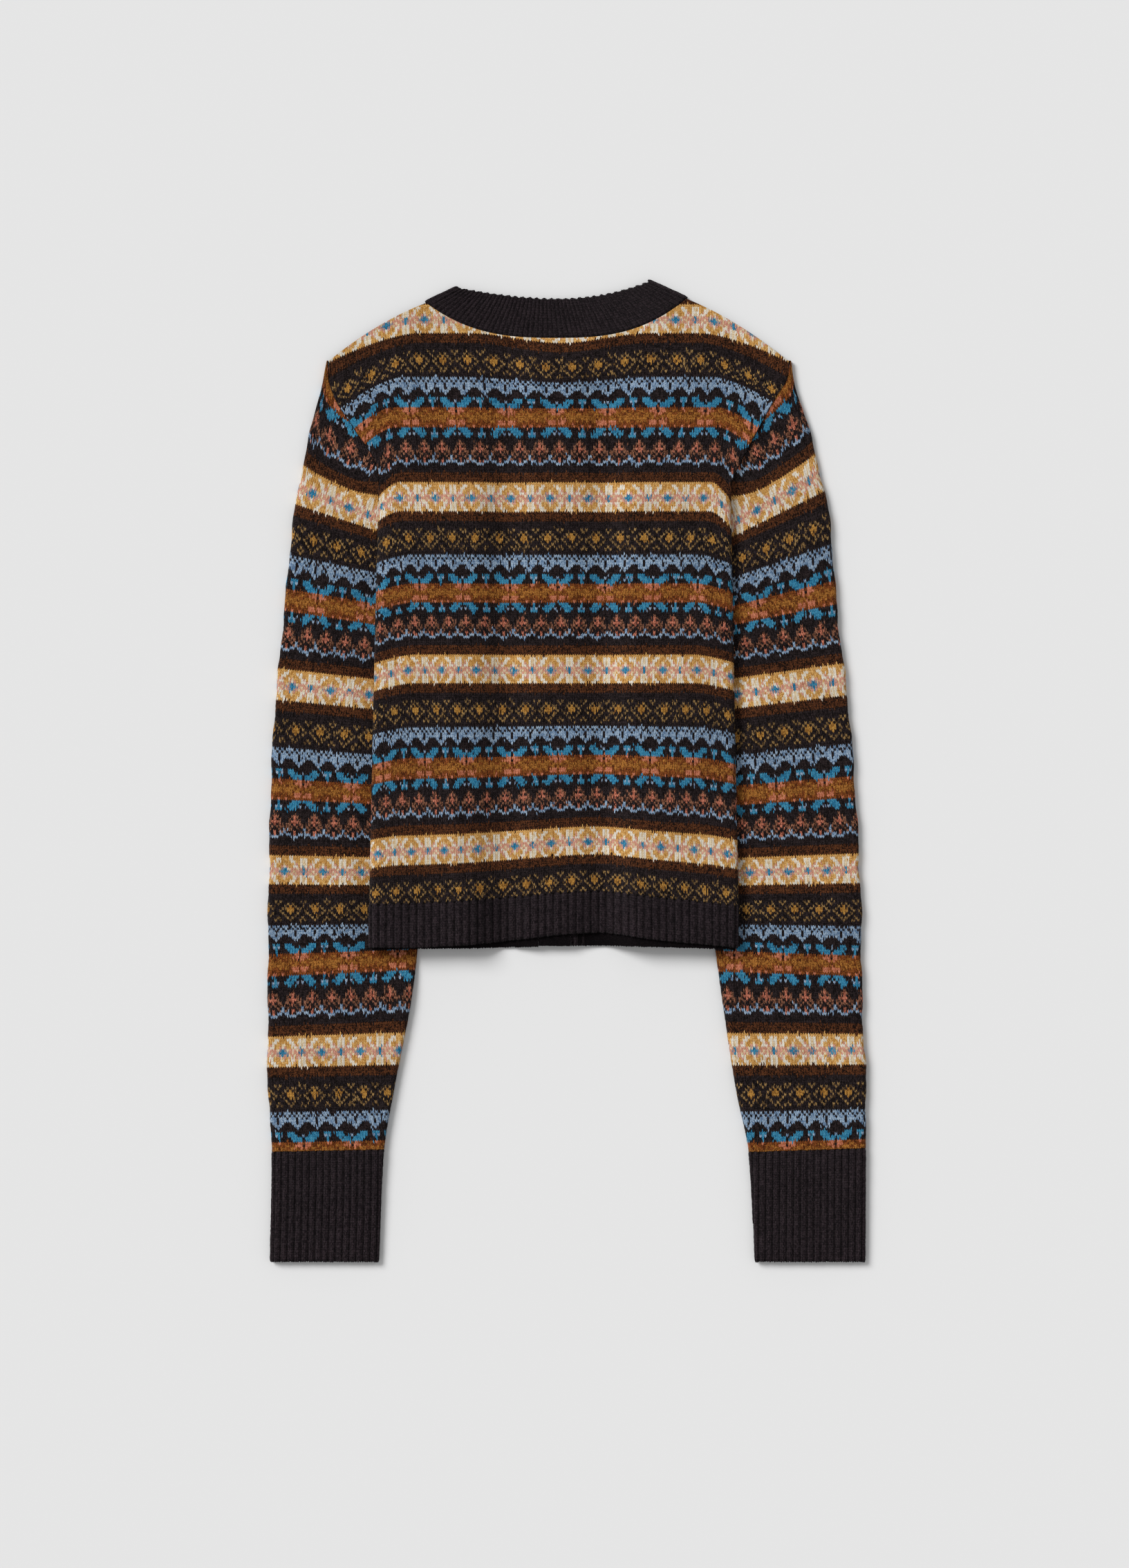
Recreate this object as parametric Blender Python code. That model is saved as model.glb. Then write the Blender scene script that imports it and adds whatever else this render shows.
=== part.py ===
"""Wool cardigan lying face down, its sides folded under on top of the sleeves.

World frame: metres, +Z up, +Y towards the neck, +X towards the wearer's right.
The origin is the centre of the garment's footprint, on the surface it lies on.
Every size below is in millimetres, and becomes metres only where a mesh is made.

The body is drawn twice over.  In plan it is a grid of rows (hem to shoulder) and
columns (fold to centre to fold).  Through its thickness it is a stack of walls,
measured down from the back's outer face, and `lie` then lifts the whole stack to
the height at which it rests on the sleeves, the buttons or the floor.
"""
import math

import bmesh
import bpy
from mathutils import Vector

# ---------------------------------------------------------------- cloth and layers
WALL = 2.0                  # thickness of the knitted cloth
GAP = 0.3                   # clearance between pieces, and across a seam
PITCH = WALL + GAP          # from one layer's face to the next layer's
STACK = 4 * WALL + 3 * GAP  # four layers: back, front, and both again folded under

# ---------------------------------------------------------------- body, in plan
CENTRE_X = -9.5             # the centre back line, a little left of the footprint's centre
BAND_WIDTH = 25.0           # button band
FRONT_EDGE = BAND_WIDTH / 2 + GAP   # each front stops this far from the centre line
FOLD_REACH = 8.0            # how far in from the fold edge the cloth starts to roll over
TUCK = 74.0                 # width of the side that is folded under
STRIP_TOP_Y = 205.0         # top of the folded side, at the underarm
ARMHOLE_FOOT_Y = 219.0      # where the armhole seam passes under the fold
SHOULDER_TIP_Y = 314.5
CENTRE_ZONE = 37.0          # columns this near the centre line keep their distance from it

# side: sign of x, fold-edge x at the armhole's foot, shoulder tip x, neck point x and y
SIDES = {
    "left": {"sign": -1, "foot_x": -144.0, "tip_x": -182.5, "neck_x": -108.0, "neck_y": 358.8},
    "right": {"sign": 1, "foot_x": 125.5, "tip_x": 169.5, "neck_x": 91.7, "neck_y": 362.0},
}
# the fold edge wanders outwards towards the hem: y, left x, right x
FOLD_EDGE = [
    {"y": 219.0, "left": -144.0, "right": 125.5},
    {"y": 113.0, "left": -147.0, "right": 127.5},
    {"y": 0.0, "left": -149.5, "right": 129.5},
    {"y": -100.0, "left": -151.5, "right": 131.5},
    {"y": -140.0, "left": -152.0, "right": 131.0},
]
# lower edges across the body: x, where the rib starts, back hem, front hem
HEM_LINE = [
    {"x": -152.0, "rib": -102.0, "back": -135.8, "front": -137.5},
    {"x": -110.0, "rib": -100.8, "back": -135.6, "front": -136.5},
    {"x": -60.0, "rib": -98.2, "back": -132.4, "front": -136.0},
    {"x": 20.0, "rib": -92.2, "back": -124.6, "front": -134.4},
    {"x": 70.0, "rib": -96.8, "back": -130.0, "front": -135.2},
    {"x": 131.0, "rib": -102.8, "back": -135.8, "front": -137.0},
]
HEM_ARC_FADES_Y = 20.0      # above this the rows are straight
MEAN_RIB_Y = -98.0
LOWER_ROWS_Y = (-60.0, -20.0, 22.0, 65.0, 108.0, 148.0, 180.0, STRIP_TOP_Y)
ARMHOLE_STEPS = 5           # rows between the armhole's foot and the shoulder
NECK_POINT_DEPTH = 58.5     # the column that ends at the neck point
TOP_COLUMNS = (FOLD_REACH, 20.0, 33.0, 46.0, NECK_POINT_DEPTH, 67.0, 76.0, 84.0, 94.0, 104.0,
               116.0, 128.35, 141.0)   # distance in from the fold edge at the hem
STRIP_COLUMNS = (20.0, 33.0, 46.0, NECK_POINT_DEPTH, TUCK)
HALF_WIDTH = 141.0
FOLD_ANGLES = (30.0, 60.0, 90.0, 120.0, 150.0)
BACK_NECK_LOW_Y = 331.9
BACK_NECK_POWER = 2.8
FRONT_NECK_LOW_Y = 272.0
FRONT_NECK_POWER = 2.3
SHOULDER_BULGE = 4.0

# ---------------------------------------------------------------- how it lies
SEAM_LIE = 2 * WALL + 2 * GAP      # two layers lying on the floor
SIDE_LIFT = 9.6                    # extra height over the sleeves and the folded sides
HEM_LIFT = 2.2                     # the ribbed hem springs up a little more at the sides
HEM_LIFT_Y = (-20.0, -95.0)
FOOT_SHARE = 0.75                  # share of the side lift reached at the armhole's foot
SIDE_SLOPE = (76.0, 104.0)         # the sides fall to the middle between these columns
RIDGE_LIFT = 4.6                   # the second band and the buttons under the centre
RIDGE_SLOPE = (12.65, 37.0)        # distance from the centre line
RIDGE_END_Y = (309.0, 331.9)

# ---------------------------------------------------------------- sleeves and cuffs
SLEEVE_THICK = 7.0                 # where it lies free
SLEEVE_PRESSED = 4.6               # under the body
SLEEVE_RIM = 3.5                   # reach of its rounded edge
SLEEVE_TOP_Y = 180.0               # straight rows end here, and turn towards the armhole
CUFF_SEAM_Y = -292.5
CUFF_END_Y = -377.1
CUFF_THICK = 6.2
SLEEVE_ROWS_Y = (135.0, 90.0, 45.0, 0.0, -45.0, -95.0, -140.0, -172.0, -210.0, -250.0, CUFF_SEAM_Y)
VISIBLE_SHARES = (0.0, 0.10, 0.20, 0.30, 0.39, 0.47)
HIDDEN_SHARES = (0.53, 0.69, 0.85, 1.0)
CAP_BLENDS = (0.75, 0.5, 0.25, 0.0)
CAP_OUTER_SHARE = 0.4              # this much of a cap row is drawn out to the sleeve's outline
SLOPE_STEP = 0.1                   # stretch of armhole over which its direction is measured
SLEEVE_FREE_X = (2.0, 20.0)        # distance outside the body's fold where the sleeve puffs up
SLEEVE_FREE_Y = (-140.0, -178.0)   # the same below the body's hem
RIM_ANGLES = (45, 90, 135)
# sleeve outline, distances from the middle of the footprint: y, outer and inner edge
SLEEVE_OUTLINE = {
    "left": [
        {"y": 314.5, "outer": 186.3, "inner": 72.0},
        {"y": 262.0, "outer": 197.2, "inner": 72.0},
        {"y": 198.0, "outer": 209.3, "inner": 74.5},
        {"y": 124.0, "outer": 216.9, "inner": 83.5},
        {"y": 28.0, "outer": 225.6, "inner": 96.0},
        {"y": -95.0, "outer": 229.2, "inner": 110.5},
        {"y": -172.0, "outer": 229.6, "inner": 118.7},
        {"y": -247.0, "outer": 229.7, "inner": 133.0},
        {"y": -292.5, "outer": 226.6, "inner": 140.4},
        {"y": -377.1, "outer": 228.0, "inner": 144.6},
    ],
    "right": [
        {"y": 314.5, "outer": 173.3, "inner": 70.0},
        {"y": 262.0, "outer": 186.0, "inner": 70.0},
        {"y": 198.0, "outer": 200.9, "inner": 73.5},
        {"y": 124.0, "outer": 207.4, "inner": 82.0},
        {"y": 28.0, "outer": 218.2, "inner": 94.0},
        {"y": -95.0, "outer": 225.6, "inner": 108.5},
        {"y": -172.0, "outer": 226.6, "inner": 118.6},
        {"y": -247.0, "outer": 229.8, "inner": 130.0},
        {"y": -292.5, "outer": 229.4, "inner": 139.4},
        {"y": -377.1, "outer": 229.0, "inner": 144.2},
    ],
}

# ---------------------------------------------------------------- ribs
RIB_RAISE = 0.5
HEM_RIB_PITCH = 5.8
CUFF_RIB_PITCH = 5.2
NECK_RIB_PITCH = 4.0

# ---------------------------------------------------------------- neckband
NECK_FREE_LEFT = (-83.5, 370.4)    # where the band's free edge folds at each shoulder
NECK_FREE_RIGHT = (62.5, 375.2)
NECK_FREE_LOW = (-10.0, 362.0)     # lowest point of the free edge at the back
NECK_FREE_POWER_LEFT = 1.7         # how late the free edge climbs towards each shoulder
NECK_FREE_POWER_RIGHT = 2.2
NECK_TURN_ANGLES = (45.0, 90.0, 135.0, 180.0)
NECKBAND_HEIGHT = 29.0

# ---------------------------------------------------------------- buttons
BUTTON_COUNT = 7
BUTTON_RADIUS = 6.5
BUTTON_THICK = 2.3
BUTTON_EDGE = 0.6
BUTTON_LOW_Y = -118.0
BUTTON_HIGH_Y = 286.0

MATERIALS = {
    "patterned_knit": ((0.115, 0.062, 0.045, 1.0), 0.92),
    "dark_rib": ((0.020, 0.016, 0.017, 1.0), 0.95),
    "dark_button": ((0.030, 0.022, 0.018, 1.0), 0.40),
}


# ================================================================ small helpers
def ease(start, end, value):
    """0 at start, 1 at end, with a level run-in at both ends."""
    share = min(1.0, max(0.0, (value - start) / (end - start)))
    return share * share * (3.0 - 2.0 * share)


def mix(first, second, share):
    return first + (second - first) * share


def read_table(table, key, column, value):
    """A smooth curve through a short table's rows, level with the end rows beyond them."""
    rows = sorted(table, key=lambda row: row[key])
    value = min(rows[-1][key], max(rows[0][key], value))
    place = max(index for index, row in enumerate(rows[:-1]) if row[key] <= value)
    low, high = rows[place], rows[place + 1]
    before, after = rows[max(place - 1, 0)], rows[min(place + 2, len(rows) - 1)]
    span = high[key] - low[key]
    share = (value - low[key]) / span
    slope_low = (high[column] - before[column]) / (high[key] - before[key]) * span
    slope_high = (after[column] - low[column]) / (after[key] - low[key]) * span
    steep = share * share * (3.0 - 2.0 * share)
    bend_low = share * (1.0 - share) ** 2
    bend_high = -share * share * (1.0 - share)
    return mix(low[column], high[column], steep) + slope_low * bend_low + slope_high * bend_high


def make_material(name):
    colour, roughness = MATERIALS[name]
    material = bpy.data.materials.get(name) or bpy.data.materials.new(name)
    material.use_nodes = True
    shader = material.node_tree.nodes["Principled BSDF"]
    shader.inputs["Base Color"].default_value = colour
    shader.inputs["Roughness"].default_value = roughness
    shader.inputs["Metallic"].default_value = 0.0
    material.diffuse_color = colour
    return material


def add_object(name, mesh_maker, material, collection):
    """Build one closed mesh from millimetres and put it in the collection."""
    work = bmesh.new()
    mesh_maker(work)
    bmesh.ops.scale(work, vec=(0.001, 0.001, 0.001), verts=work.verts)
    bmesh.ops.recalc_face_normals(work, faces=work.faces)
    mesh = bpy.data.meshes.new(name)
    work.to_mesh(mesh)
    work.free()
    mesh.materials.append(make_material(material))
    item = bpy.data.objects.new(name, mesh)
    collection.objects.link(item)
    return item


def cloth_wall(rows, ring=False):
    """A wall lofted through rows of (outer, inner) points.

    A row may hold None where the cloth has no column.  Every stretch of cells gets an
    outer face and an inner face, and every free edge a rim, so that the wall is closed.
    A ring joins its last column to its first and is open only at its two ends.
    """
    def fill(work):
        verts = {}
        for r, row in enumerate(rows):
            for c, pair in enumerate(row):
                if pair is not None:
                    verts[r, c] = [work.verts.new(point) for point in pair]
        width = len(rows[0])
        cells = []
        for r in range(len(rows) - 1):
            for c in range(width if ring else width - 1):
                corners = [(r, c), (r, (c + 1) % width), (r + 1, (c + 1) % width), (r + 1, c)]
                if all(corner in verts for corner in corners):
                    cells.append(corners)
        edge_use = {}
        for corners in cells:
            first, second, third, fourth = corners
            work.faces.new([verts[corner][0] for corner in corners])
            work.faces.new([verts[corner][1] for corner in (first, fourth, third, second)])
            for first, second in zip(corners, corners[1:] + corners[:1]):
                edge_use.setdefault(frozenset((first, second)), []).append((first, second))
        for uses in edge_use.values():
            if len(uses) == 1:
                first, second = uses[0]
                rim = (verts[second][0], verts[first][0], verts[first][1], verts[second][1])
                work.faces.new(rim)
        loose = [vert for vert in work.verts if not vert.link_faces]
        bmesh.ops.delete(work, geom=loose, context="VERTS")
    return fill


# ================================================================ the body's grid
def fold_edge_x(side, y):
    return read_table(FOLD_EDGE, "y", side, y)


def armhole_point(side, step):
    """Armhole seam in plan; step 0 is the shoulder tip and 1 the foot."""
    data = SIDES[side]
    share = ease(0.0, 1.0, step)
    return (mix(data["tip_x"], data["foot_x"], share), mix(SHOULDER_TIP_Y, ARMHOLE_FOOT_Y, step))


def column_x(side, edge_x, depth):
    """x of a column: even in from the edge, but fixed near the centre line."""
    sign = SIDES[side]["sign"]
    if depth >= HALF_WIDTH - CENTRE_ZONE:
        return CENTRE_X + sign * (HALF_WIDTH - depth)
    reach = abs(edge_x - CENTRE_X) - CENTRE_ZONE - FOLD_REACH
    share = (depth - FOLD_REACH) / (HALF_WIDTH - CENTRE_ZONE - FOLD_REACH)
    return edge_x - sign * (FOLD_REACH + share * reach)


def shoulder_y(side, x):
    data = SIDES[side]
    share = (x - data["tip_x"]) / (data["neck_x"] - data["tip_x"])
    return mix(SHOULDER_TIP_Y, data["neck_y"], share) + SHOULDER_BULGE * 4.0 * share * (1.0 - share)


def neck_share(side, x):
    """0 at the centre of the neck and 1 at the neck point."""
    middle = 0.5 * (SIDES["left"]["neck_x"] + SIDES["right"]["neck_x"])
    return min(1.0, abs(x - middle) / abs(SIDES[side]["neck_x"] - middle))


def top_y(side, x, depth, panel):
    """Upper boundary of a panel: shoulder, then the back or the front neck."""
    if depth <= NECK_POINT_DEPTH:
        return shoulder_y(side, x)
    share = neck_share(side, x)
    high = SIDES[side]["neck_y"]
    if panel == "back":
        return mix(BACK_NECK_LOW_Y, high, share ** BACK_NECK_POWER)
    drop = (1.0 - share ** FRONT_NECK_POWER) ** (1.0 / FRONT_NECK_POWER)
    return mix(high, FRONT_NECK_LOW_Y, drop)


def arc_offset(x, y):
    """The rows near the hem follow its arc."""
    fade = ease(HEM_ARC_FADES_Y, MEAN_RIB_Y, y)
    return (read_table(HEM_LINE, "x", "rib", x) - MEAN_RIB_Y) * fade


def lie(depth, x, y, share):
    """Height of the back's outer face; share is how much of the side lift applies."""
    side = share * (1.0 - ease(*SIDE_SLOPE, depth))
    hem = HEM_LIFT * ease(*HEM_LIFT_Y, y)
    ridge = 1.0 - ease(*RIDGE_SLOPE, abs(x - CENTRE_X))
    ridge *= 1.0 - ease(*RIDGE_END_Y, y)
    return SEAM_LIE + side * (SIDE_LIFT + hem) + ridge * RIDGE_LIFT


def side_share(row):
    """How much of the side lift a grid row has."""
    if row["step"] is not None:
        return FOOT_SHARE * ease(0.0, 1.0, row["step"])
    return 0.97 if row["y"] == STRIP_TOP_Y else 1.0


def body_grid_rows():
    """Rows from the rib seam to the shoulder; step is set on rows along the armhole."""
    rows = [{"y": None, "step": None, "folded": True}]
    for y in LOWER_ROWS_Y:
        rows.append({"y": y, "step": None, "folded": True})
    for index in range(ARMHOLE_STEPS + 1):
        rows.append({"y": None, "step": 1.0 - index / ARMHOLE_STEPS, "folded": False})
    return rows


def plan_point(side, row, depth, panel):
    """Plan position of a column on a row."""
    if row["step"] is not None:
        edge_x = armhole_point(side, row["step"])[0]
        x = column_x(side, edge_x, depth) if depth > 0.0 else edge_x
        tip_x = SIDES[side]["tip_x"]
        x_at_top = column_x(side, tip_x, depth) if depth > 0.0 else tip_x
        top = top_y(side, x_at_top, depth, panel)
        return x, mix(ARMHOLE_FOOT_Y, top, 1.0 - row["step"])
    y = row["y"] if row["y"] is not None else MEAN_RIB_Y
    edge_x = fold_edge_x(side, y)
    x = column_x(side, edge_x, max(depth, FOLD_REACH))
    if row["y"] is None:
        y = read_table(HEM_LINE, "x", "rib", x)
    else:
        y = y + arc_offset(x, y)
    return x, y


LAYER_FACES = {            # radii of each layer's roll at the fold: outer then inner
    "back": {"reach": (FOLD_REACH, FOLD_REACH - WALL), "rise": (STACK / 2, STACK / 2 - WALL)},
    "front": {"reach": (FOLD_REACH - PITCH, FOLD_REACH - PITCH - WALL),
              "rise": (GAP / 2 + WALL, GAP / 2)},
}
SHEET_LAYER = {"back": "back", "front_left": "front", "front_right": "front"}


def centre_drop(panel, x):
    """The right front goes under the left band, one layer lower near the centre."""
    if panel != "front_right":
        return 0.0
    return PITCH * (1.0 - ease(*RIDGE_SLOPE, x - CENTRE_X))


def pair_at(panel, side, row, depth, angle):
    """Outer and inner points of a panel at a column (depth) or on its roll (angle)."""
    faces = LAYER_FACES[SHEET_LAYER[panel]]
    sign = SIDES[side]["sign"]
    at_edge = angle is not None and angle not in (0.0, 180.0)
    if at_edge and not row["folded"]:
        turn = math.sin(math.radians(angle))
        edge_depth = 0.0 if angle == 90.0 else FOLD_REACH
        x, y = plan_point(side, row, edge_depth, SHEET_LAYER[panel])
        if angle != 90.0:
            edge_x, edge_y = plan_point(side, row, 0.0, SHEET_LAYER[panel])
            x, y = mix(x, edge_x, turn), mix(y, edge_y, turn)
        height = lie(0.0, x, y, side_share(row))
        return tuple(Vector((x, y, height - STACK / 2 + rise)) for rise in faces["rise"])
    x, y = plan_point(side, row, max(depth, FOLD_REACH), SHEET_LAYER[panel])
    base = lie(depth, x, y, side_share(row)) - STACK / 2 - centre_drop(panel, x)
    if angle is None or angle == 0.0:
        return tuple(Vector((x, y, base + rise)) for rise in faces["rise"])
    turn = math.radians(angle)
    pair = []
    for reach, rise in zip(faces["reach"], faces["rise"]):
        over = reach * math.sin(turn) if angle < 180.0 else 0.0
        pair.append(Vector((x + sign * over, y, base + rise * math.cos(turn))))
    return tuple(pair)


def half_section(panel, side, row):
    """One row of a panel from the end of its folded side to the centre."""
    section = []
    for depth in reversed(STRIP_COLUMNS):
        section.append(pair_at(panel, side, row, depth, 180.0) if row["folded"] else None)
    section.append(pair_at(panel, side, row, FOLD_REACH, 180.0) if row["folded"] else None)
    for angle in reversed(FOLD_ANGLES):
        hidden = angle > 90.0 and not row["folded"]
        section.append(None if hidden else pair_at(panel, side, row, FOLD_REACH, angle))
    for depth in TOP_COLUMNS:
        section.append(pair_at(panel, side, row, depth, None))
    return section


def full_section(row):
    """A whole row of the back, left fold to right fold."""
    left = half_section("back", "left", row)
    right = half_section("back", "right", row)
    return left + right[-2::-1]


def front_section(panel, side, row):
    """A row of a front, which stops short of the band at the centre."""
    section = half_section(panel, side, row)[:-1]
    last_column = HALF_WIDTH - TOP_COLUMNS[-2]
    shift = Vector((SIDES[side]["sign"] * (FRONT_EDGE - last_column), 0.0, 0.0))
    section[-1] = tuple(point + shift for point in section[-1])
    return section


# ================================================================ ribbed strips
def resample(points, distance, lengths):
    """Point at a distance along a run of (outer, inner) pairs."""
    for index in range(len(points) - 1):
        if distance <= lengths[index + 1] or index == len(points) - 2:
            span = lengths[index + 1] - lengths[index]
            share = (distance - lengths[index]) / span if span else 0.0
            first, second = points[index], points[index + 1]
            return [a.lerp(b, share) for a, b in zip(first, second)]
    return list(points[-1])


def run_lengths(points):
    lengths = [0.0]
    for first, second in zip(points, points[1:]):
        lengths.append(lengths[-1] + (second[0] - first[0]).length)
    return lengths


def ribbed(upper, lower, pitch, start, end):
    """Two matching runs with ribs raised on the outer face between two columns.

    Outside start..end the columns stay as they are, and the cloth is plain.
    """
    upper_run, lower_run = upper[start:end + 1], lower[start:end + 1]
    upper_lengths, lower_lengths = run_lengths(upper_run), run_lengths(lower_run)
    steps = 2 * max(1, round(lower_lengths[-1] / pitch))
    ribs = []
    for run, lengths in ((upper_run, upper_lengths), (lower_run, lower_lengths)):
        line = []
        for step in range(steps + 1):
            outer, inner = resample(run, lengths[-1] * step / steps, lengths)
            if step % 2:
                outer = outer + (outer - inner).normalized() * RIB_RAISE
            line.append((outer, inner))
        ribs.append(line)
    return [upper[:start] + ribs[0] + upper[end + 1:], lower[:start] + ribs[1] + lower[end + 1:]]


def hem_rows(section, hem):
    """A body row moved to just under its seam, and again down to the hem line."""
    seam_row, hem_row = [], []
    for pair in section:
        seam_row.append(tuple(Vector((point.x, point.y - GAP, point.z)) for point in pair))
        y = read_table(HEM_LINE, "x", hem, pair[0].x)
        hem_row.append(tuple(Vector((point.x, y, point.z)) for point in pair))
    return seam_row, hem_row


# ================================================================ sleeves
def sleeve_edge(side, column, y):
    return SIDES[side]["sign"] * read_table(SLEEVE_OUTLINE[side], "y", column, y)


def sleeve_top_line(side):
    """Armhole end of the sleeve: along the seam, then hidden under the fold."""
    sign = SIDES[side]["sign"]
    line = []
    for index, share in enumerate(VISIBLE_SHARES):
        step = index / ARMHOLE_STEPS
        x, y = armhole_point(side, step)
        ahead = armhole_point(side, min(1.0, step + SLOPE_STEP))
        behind = armhole_point(side, max(0.0, step - SLOPE_STEP))
        along = Vector((ahead[0] - behind[0], ahead[1] - behind[1])).normalized()
        away = Vector((along.y, -along.x))
        if away.x * sign < 0:
            away = -away
        height = lie(0.0, x, y, FOOT_SHARE * ease(0.0, 1.0, step))
        line.append({"x": x + away.x * GAP, "y": y + away.y * GAP, "thick": 2 * WALL + GAP,
                     "lift": height - 2 * WALL - GAP, "share": share})
    foot_x = SIDES[side]["foot_x"] + sign * 2 * GAP
    under_x = sleeve_edge(side, "inner", STRIP_TOP_Y) + sign * SLEEVE_RIM
    for share in HIDDEN_SHARES:
        along = (share - HIDDEN_SHARES[0]) / (HIDDEN_SHARES[-1] - HIDDEN_SHARES[0])
        line.append({"x": mix(foot_x, under_x, along), "y": STRIP_TOP_Y - WALL,
                     "thick": SLEEVE_PRESSED, "lift": 0.0, "share": share})
    return line


def sleeve_thickness(side, x, y):
    """Puffed where it lies free, pressed thin where the body lies on it."""
    sign = SIDES[side]["sign"]
    if y < SLEEVE_FREE_Y[0]:
        return mix(SLEEVE_PRESSED, SLEEVE_THICK, ease(*SLEEVE_FREE_Y, y))
    outside = (x - fold_edge_x(side, y)) * sign
    return mix(SLEEVE_PRESSED, SLEEVE_THICK, ease(*SLEEVE_FREE_X, outside))


def sleeve_row(side, y, thick=None):
    """A row straight across, between the tube's two rounded edges."""
    sign = SIDES[side]["sign"]
    outer = sleeve_edge(side, "outer", y) - sign * SLEEVE_RIM
    inner = sleeve_edge(side, "inner", y) + sign * SLEEVE_RIM
    row = []
    for share in VISIBLE_SHARES + HIDDEN_SHARES:
        x = mix(outer, inner, share)
        row.append({"x": x, "y": y, "thick": thick or sleeve_thickness(side, x, y),
                    "lift": 0.0, "share": share})
    return row


def sleeve_cap_rows(side):
    """Rows that turn from straight across to the line of the armhole."""
    sign = SIDES[side]["sign"]
    top, base = sleeve_top_line(side), sleeve_row(side, SLEEVE_TOP_Y)
    tip, start = top[0], base[0]
    rows = [top]
    for blend in CAP_BLENDS:
        row = []
        for high, low in zip(top, base):
            x, y = mix(low["x"], high["x"], blend), mix(low["y"], high["y"], blend)
            outline = sleeve_edge(side, "outer", y) - sign * SLEEVE_RIM
            straight = mix(start["x"], tip["x"], (y - start["y"]) / (tip["y"] - start["y"]))
            x += (outline - straight) * max(0.0, 1.0 - low["share"] / CAP_OUTER_SHARE) ** 2
            row.append({"x": x, "y": y, "thick": mix(low["thick"], high["thick"], blend),
                        "lift": high["lift"] * blend ** 2, "share": low["share"]})
        rows.append(row)
    return rows


def rim_pairs(point, outward, angles):
    """Outer and inner points round one edge of a flattened tube."""
    half = point["thick"] / 2
    pairs = []
    for angle in angles:
        turn = math.radians(angle)
        pair = []
        for reach, rise in ((SLEEVE_RIM, half), (SLEEVE_RIM - WALL, half - WALL)):
            over = outward * reach * math.sin(turn)
            height = point["lift"] + half + rise * math.cos(turn)
            pair.append(Vector((point["x"] + over, point["y"], height)))
        pairs.append(tuple(pair))
    return pairs


def ring_of(side, row):
    """Closed ring of (outer, inner) points round a flattened tube."""
    sign = SIDES[side]["sign"]
    top, bottom = [], []
    for point in row:
        x, y, low = point["x"], point["y"], point["lift"]
        high = low + point["thick"]
        top.append((Vector((x, y, high)), Vector((x, y, high - WALL))))
        bottom.append((Vector((x, y, low)), Vector((x, y, low + WALL))))
    inner_edge = rim_pairs(row[-1], -sign, RIM_ANGLES)
    outer_edge = rim_pairs(row[0], sign, RIM_ANGLES[::-1])
    return top + inner_edge + bottom[::-1] + outer_edge


def sleeve_rings(side):
    rows = sleeve_cap_rows(side) + [sleeve_row(side, y) for y in SLEEVE_ROWS_Y]
    return [ring_of(side, row) for row in rows]


def cuff_rings(side):
    """The cuff's two end rings, with ribs over the top and both edges."""
    rim = len(RIM_ANGLES)
    rings = []
    for y, thick in ((CUFF_SEAM_Y - GAP, SLEEVE_THICK), (CUFF_END_Y, CUFF_THICK)):
        ring = ring_of(side, sleeve_row(side, y, thick))
        rings.append(ring[-rim:] + ring[:-rim])
    last_rib = rim + len(VISIBLE_SHARES + HIDDEN_SHARES) + 1
    return ribbed(rings[0], rings[1], CUFF_RIB_PITCH, 1, last_rib)


# ================================================================ neckband
def free_edge_point(share):
    """Free edge of the back neckband; share runs 0 to 1, left to right."""
    left, right, low = NECK_FREE_LEFT, NECK_FREE_RIGHT, NECK_FREE_LOW
    x = mix(left[0], right[0], share)
    if x < low[0]:
        rise = ((low[0] - x) / (low[0] - left[0])) ** NECK_FREE_POWER_LEFT
        return x, mix(low[1], left[1], rise)
    rise = ((x - low[0]) / (right[0] - low[0])) ** NECK_FREE_POWER_RIGHT
    return x, mix(low[1], right[1], rise)


def back_band_lines(top_section):
    """Cross-lines of the band's back half, one at each column of the panel's neck edge."""
    middle = len(top_section) // 2
    neck_columns = len(TOP_COLUMNS) - 1 - TOP_COLUMNS.index(NECK_POINT_DEPTH)
    seam = top_section[middle - neck_columns:middle + neck_columns + 1]
    lengths = run_lengths(seam)
    lines = []
    for pair, length in zip(seam, lengths):
        x, y = free_edge_point(length / lengths[-1])
        along = Vector((x - pair[0].x, y - pair[0].y, 0.0)).normalized() * GAP
        near = tuple(point + along for point in pair)
        far = tuple(Vector((x, y, point.z)) for point in pair)
        lines.append((near, far))
    return lines


def turned_lines(line, outward_sign):
    """Cross-lines round the band's fold at a shoulder, from the back half to the front half."""
    near_outer, far_outer = line[0][0], line[1][0]
    direction = (far_outer - near_outer).normalized()
    outward = Vector((-direction.y, direction.x, 0.0)) * outward_sign
    lines = []
    for angle in NECK_TURN_ANGLES:
        turn = math.radians(angle)
        ends = []
        for outer in (near_outer, far_outer):
            middle = outer.z - WALL - GAP / 2
            pair = []
            for radius in (WALL + GAP / 2, GAP / 2):
                reach = outward * radius * math.sin(turn)
                height = middle + radius * math.cos(turn)
                pair.append(Vector((outer.x, outer.y, height)) + reach)
            ends.append(tuple(pair))
        lines.append(tuple(ends))
    return lines


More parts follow.
